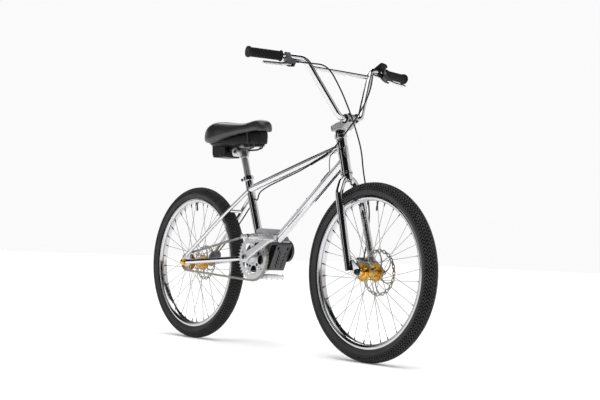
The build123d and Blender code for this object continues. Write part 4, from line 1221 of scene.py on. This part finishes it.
def make_saddle():
    build = Build()
    lofted(build, [saddle_ring(station) for station in saddle_stations])
    saddle = build.done("saddle_skin", vinyl, None, angle=180)
    softer = saddle.modifiers.new("smooth", "SUBSURF")
    softer.levels = 2
    softer.render_levels = 2
    saddle.data = evaluated(saddle)
    saddle.modifiers.clear()
    inflated(saddle)
    saddle.data.shade_smooth()
    softer = saddle.modifiers.new("smooth", "SUBSURF")
    softer.levels = 1
    softer.render_levels = 1
    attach(saddle, "seat")
    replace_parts(saddle, "saddle_cover")
    bpy.context.view_layer.update()
    lip = Build()
    left = [mm(x, half * 0.855, low + 0.5) for x, half, low, crown, dip in saddle_stations]
    edge = left + [flipped(point) for point in reversed(left)]
    skin = BVHTree.FromObject(saddle, bpy.context.evaluated_depsgraph_get())
    edge = [skin.find_nearest(point)[0] for point in edge]
    lip.sweep(edge, 1.5 * MM, 8, closed=True)
    trim = lip.done("saddle_piping", vinyl, "seat", angle=180)
    softer = trim.modifiers.new("smooth", "SUBSURF")
    softer.levels = 1
    softer.render_levels = 1


# stations along the tub: x, half width, floor height, top height (all mm)
bucket_stations = (
    (-368, 44, 764, 776), (-362, 62, 758, 778), (-350, 78, 755, 778), (-318, 84, 754, 780),
    (-280, 78, 755, 786), (-240, 62, 757, 796), (-200, 46, 759, 806), (-165, 36, 760, 812),
    (-140, 31, 758, 815), (-122, 28, 757, 816), (-108, 25, 758, 815), (-103, 20, 761, 812),
)


def make_bucket():
    """The moulded tub under the skin, its floor just above the rails."""
    rings = []
    for x, half, floor_z, top in bucket_stations:
        ring = []
        for k in range(9):
            turn = pi + pi * k / 8
            side = cos(turn)
            ring.append(mm(x, half * 0.94 * (abs(side) ** 0.45) * (1 if side > 0 else -1),
                           floor_z + 8 * (1 - abs(sin(turn)) ** 0.6)))
        ring += [mm(x, half, (floor_z + top) / 2), mm(x, half, top), mm(x, -half, top),
                 mm(x, -half, (floor_z + top) / 2)]
        rings.append(ring)
    build = Build()
    lofted(build, rings)
    bucket = build.done("saddle_bucket", black_plastic, "seat", angle=50)
    softer = bucket.modifiers.new("smooth", "SUBSURF")
    softer.levels = 1
    softer.render_levels = 1
    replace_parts(bucket, "saddle_base")
    ribs = Build()
    for side in (-1, 1):
        for height_mm in (762, 768):
            line = [mm(-340, side * 82.5, height_mm), mm(-300, side * 83, height_mm),
                    mm(-262, side * 72, height_mm + 2), mm(-222, side * 56, height_mm + 4)]
            ribs.sweep(line, 0.9 * MM, 6)
        ribs.sweep([mm(-150, side * 45, 800), mm(-152, side * 37, 772), mm(-158, side * 25, 747)], 1.9 * MM,
                   10)
    ribs.done("saddle_wires", dark_steel, "seat", angle=60)


def make_clamp_details():
    build = Build()
    for side in (-1, 1):
        for y in (13, 27.4):
            at = clamp_middle + Y * side * y * MM
            build.lathe(at, Y * side, in_mm((-1.8, 16.6), (-1.2, 18), (1.2, 18), (1.8, 16.6)), 32)
    build.done("clamp_ribs", satin_alloy, "seat", angle=30)
    bolts = Build()
    for side in (-1, 1):
        at = clamp_middle + Y * side * 28.8 * MM
        bolts.rod(at, at + Y * side * 4 * MM, 6.4 * MM, 6, 0.6 * MM)
        at = mm(-322, side * 36, 724)
        bolts.rod(at - Y * side * 0.6 * MM, at + Y * side * 1.6 * MM, 4.2 * MM, 20, 0.5 * MM)
    bolts.done("clamp_bolts", dark_steel, "seat", angle=25)


rail_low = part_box("saddle_rails")[0]
clamp_middle = Vector((on_seat_tube(429).x - 16 * MM, 0, rail_low[2] + (3.5 - 8) * MM))
make_saddle()
make_bucket()
make_clamp_details()

# ---- hoses and wires


def hose_line(name, route, radius, stuff):
    """A tube along one smooth curve with these control points, and the line that it follows."""
    curve = bpy.data.curves.new(name + "_curve", "CURVE")
    curve.dimensions = "3D"
    curve.resolution_u = 8
    spline = curve.splines.new("NURBS")
    spline.points.add(len(route) - 1)
    for point, place in zip(spline.points, route):
        point.co = (*place, 1)
    spline.order_u = 3
    spline.use_endpoint_u = True
    holder = bpy.data.objects.new(name + "_curve", curve)
    bpy.context.scene.collection.objects.link(holder)
    line = [v.co.copy() for v in evaluated(holder).vertices]
    curve.bevel_depth = radius
    curve.bevel_resolution = 3
    curve.use_fill_caps = True
    tube = bpy.data.objects.new(name, evaluated(holder))
    bpy.context.scene.collection.objects.link(tube)
    bpy.data.objects.remove(holder)
    tube.data.materials.clear()
    tube.data.materials.append(stuff)
    tube.data.shade_smooth()
    return tube, line


def line_length(line):
    return sum((b - a).length for a, b in zip(line, line[1:]))


grip_out = (bar_tip - bend_high).normalized()
lever_outward = flipped(grip_out)
flat_ahead = Vector((-lever_outward.y, lever_outward.x, 0)).normalized()
lever_ahead = flat_ahead * cos(radians(45)) - Z * sin(radians(45))
lever_ahead = (lever_ahead - lever_outward * lever_ahead.dot(lever_outward)).normalized()
hose_start = flipped(bar_tip) - lever_outward * (147 + 38) * MM + lever_ahead * 21.5 * MM
hose_radius = 2.6 * MM
front_route = [hose_start, hose_start - lever_outward * 40 * MM, mm(369, -104, 996), mm(397, -72, 926),
               mm(417, -46, 856), mm(434, -22, 781), mm(430, 12, 711), mm(410, 40, 649), mm(404, 64, 585),
               mm(414, 73, 520), mm(414, 74, 460), mm(412, 70, 400), mm(420.5, 50, 350)]
rear_route = [flipped(hose_start), flipped(hose_start - lever_outward * 40 * MM), mm(373, 104, 996),
              mm(407, 66, 935), mm(425, 24, 875), mm(423, -14, 817), mm(397, -40, 763), mm(349, -42, 719),
              mm(293, -30, 698), mm(233, -18, 683), mm(173, -10, 664), mm(113, -5, 646.5), mm(53, -5, 630),
              mm(-7, -5, 612.5), mm(-65, -6, 595), mm(-112, -4, 575), mm(-140, 14, 552), mm(-176, 27, 540),
              mm(-214, 34, 524), mm(-262, 45, 489), mm(-310, 53, 454), mm(-358, 60, 418), mm(-404, 64, 384),
              mm(-432.5, 51, 347)]


def make_hoses():
    front, front_line = hose_line("front_brake_hose", front_route, hose_radius, hose_black)
    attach(front, "steering")
    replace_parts(front, "front_hose")
    rear, rear_line = hose_line("rear_brake_hose", rear_route, hose_radius, hose_black)
    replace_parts(rear, "rear_hose")
    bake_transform(rear)

    wrapped = [point for point in rear_line if 0.19 < point.x < 0.31 and point.z < 0.75]
    turns, spiral = line_length(wrapped) / (7 * MM), []
    steps = int(turns * 14)
    for k in range(steps + 1):
        share = k / steps * (len(wrapped) - 1)
        low = min(int(share), len(wrapped) - 2)
        at = wrapped[low].lerp(wrapped[low + 1], share - low)
        turn = tau * turns * k / steps
        spiral.append(at + Y * cos(turn) * 3.9 * MM + Z * sin(turn) * 3.9 * MM)
    wrap = Build()
    wrap.sweep(spiral, 1.2 * MM, 6)
    wrap.done("hose_wrap", hose_black, "frame", angle=60)


tube_low, tube_high = bracket, on_steering(402)
tube_way = (tube_low - tube_high).normalized()
tube_top = Vector((tube_way.z, 0, -tube_way.x))
tube_top = tube_top if tube_top.z > 0 else -tube_top


def along_down_tube(share, off, side=0.0):
    """A point beside the down tube, at a share of the way from the head tube down to the bracket."""
    return tube_high.lerp(tube_low, share) + tube_top * off * MM + Y * side * MM


def make_wires():
    lead, _ = hose_line("motor_lead_upper", [on_steering(449, -14, -12), on_steering(446, -28, -15),
                                             on_steering(438, -50, -16), on_steering(423, -64, -12),
                                             along_down_tube(0.13, 29, -4), along_down_tube(0.143, 22, 0),
                                             along_down_tube(0.16, 20.5, 0)], 1.5 * MM, hose_black)
    lower, _ = hose_line("motor_lead_lower", [along_down_tube(0.24, 20.5), along_down_tube(0.5, 19.6),
                                              along_down_tube(0.78, 19.6), along_down_tube(0.85, 22)],
                         2.0 * MM, hose_black)
    under, _ = hose_line("light_lead", [along_down_tube(0.05, -18.6, -2), along_down_tube(0.2, -18.6, -2),
                                        along_down_tube(0.36, -18.6, -2)], 1.2 * MM, hose_black)
    for wire in (lead, lower, under):
        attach(wire, "frame")
    plug = Build()
    plug.lathe(along_down_tube(0.15, 20.5), tube_way, in_mm((0, 2.4), (4, 4.4), (22, 4.4), (22.5, 5.2),
                                                            (27, 5.2), (27.5, 4.4), (50, 4.4),
                                                            (54, 2.4)), 24)
    plug.done("lead_plug", black_plastic, "frame", angle=35)


make_hoses()
make_wires()


# ---- floor and light

floor_mesh = bpy.data.meshes.new("floor")
floor_mesh.from_pydata([(-30, -30, 0), (30, -30, 0), (30, 30, 0), (-30, 30, 0)], [], [(0, 1, 2, 3)])
floor = bpy.data.objects.new("floor", floor_mesh)
bpy.context.scene.collection.objects.link(floor)
floor_paint = bpy.data.materials.new("floor_paint")
floor_paint.use_nodes = True
floor_paint.node_tree.nodes["Principled BSDF"].inputs["Base Color"].default_value = (0.93, 0.93, 0.93, 1)
floor_paint.node_tree.nodes["Principled BSDF"].inputs["Roughness"].default_value = 0.9
floor_paint.node_tree.nodes["Principled BSDF"].inputs["Emission Color"].default_value = (1, 1, 1, 1)
floor_paint.node_tree.nodes["Principled BSDF"].inputs["Emission Strength"].default_value = 0.08
floor_mesh.materials.append(floor_paint)


def soft_box(name, place, target, width, height, power):
    light = bpy.data.lights.new(name, "AREA")
    light.shape = "RECTANGLE"
    light.size = width
    light.size_y = height
    light.energy = power
    obj = bpy.data.objects.new(name, light)
    obj.location = place
    obj.rotation_euler = (Vector(target) - Vector(place)).to_track_quat("-Z", "Y").to_euler()
    obj.visible_glossy = False
    bpy.context.scene.collection.objects.link(obj)
    return obj


def haze(name, tilt, spread_angle, power):
    """A very wide, even light from one side, which reaches the whole floor alike."""
    light = bpy.data.lights.new(name, "SUN")
    light.angle = radians(spread_angle)
    light.energy = power
    obj = bpy.data.objects.new(name, light)
    obj.rotation_euler = Vector(tilt).to_track_quat("Z", "Y").to_euler()
    obj.visible_glossy = False
    bpy.context.scene.collection.objects.link(obj)


haze("overhead_haze", (0.15, -0.2, 1), 70, 2.0)
haze("viewer_haze", (0.9, -1.0, 0.8), 50, 0.8)
soft_box("key_box", (0.6, -3.6, 2.6), (0, 0, 0.5), 2.0, 2.4, 12)
soft_box("fill_box", (3.8, 1.2, 2.4), (0, 0, 0.6), 2.0, 2.2, 12)

crest_box = soft_box("crest_box", (-0.75, 0.45, 1.75), (-0.2, 0, 0.83), 0.9, 0.9, 7)
crest_box.visible_glossy = True

world = bpy.data.worlds.new("studio")
bpy.context.scene.world = world
world.use_nodes = True
sky = world.node_tree
sky.nodes.clear()
output = sky.nodes.new("ShaderNodeOutputWorld")
mix_shader = sky.nodes.new("ShaderNodeMixShader")
seen = sky.nodes.new("ShaderNodeBackground")
seen.inputs["Color"].default_value = (1, 1, 1, 1)
seen.inputs["Strength"].default_value = 0.96
studio = sky.nodes.new("ShaderNodeBackground")
studio.inputs["Strength"].default_value = 1.0
place = sky.nodes.new("ShaderNodeTexCoord")


def sky_math(operation, first, second=None):
    node = sky.nodes.new("ShaderNodeMath")
    node.operation = operation
    for socket, value in zip(node.inputs, (first, second)):
        if value is None:
            continue
        if isinstance(value, (int, float)):
            socket.default_value = value
        else:
            sky.links.new(value, socket)
    return node.outputs["Value"]


def sky_step(source, low, high):
    node = sky.nodes.new("ShaderNodeMapRange")
    node.interpolation_type = "SMOOTHSTEP"
    node.inputs["From Min"].default_value = low
    node.inputs["From Max"].default_value = high
    sky.links.new(source, node.inputs["Value"])
    return node.outputs["Result"]


def sky_along(direction):
    node = sky.nodes.new("ShaderNodeVectorMath")
    node.operation = "DOT_PRODUCT"
    node.inputs[1].default_value = direction
    sky.links.new(place.outputs["Generated"], node.inputs[0])
    return node.outputs["Value"]


# a dark room on the viewer's side, a white backdrop behind, boxes at the right and overhead,
# and one slim box at the left
toward_viewer = sky_along((0.771, -0.637, 0))
aside = sky_along((0.637, 0.771, 0))
height = sky_along((0, 0, 1))
backdrop = sky_math("MULTIPLY", sky_step(toward_viewer, -0.22, -0.32), sky_step(height, 0.40, 0.30))
right_box = sky_math("MULTIPLY", sky_step(aside, 0.70, 0.76), sky_step(height, 0.62, 0.56))
slim_box = sky_math("MULTIPLY", sky_step(aside, -0.80, -0.83), sky_step(aside, -0.93, -0.90))
slim_box = sky_math("MULTIPLY", slim_box, sky_step(toward_viewer, 0.1, 0.2))
overhead = sky_math("MULTIPLY", sky_step(sky_along((0.25, -0.2, 0.947)), 0.86, 0.93), 2.2)
light_level = sky_math("MAXIMUM", sky_math("MAXIMUM", backdrop, right_box),
                       sky_math("MAXIMUM", slim_box, overhead))
light_level = sky_math("ADD", 0.012, sky_math("MULTIPLY", light_level, 0.95))
sky.links.new(light_level, studio.inputs["Strength"])
ray = sky.nodes.new("ShaderNodeLightPath")
sky.links.new(ray.outputs["Is Camera Ray"], mix_shader.inputs["Fac"])
sky.links.new(studio.outputs["Background"], mix_shader.inputs[1])
sky.links.new(seen.outputs["Background"], mix_shader.inputs[2])
sky.links.new(mix_shader.outputs["Shader"], output.inputs["Surface"])
bpy.context.scene.view_settings.view_transform = "Standard"
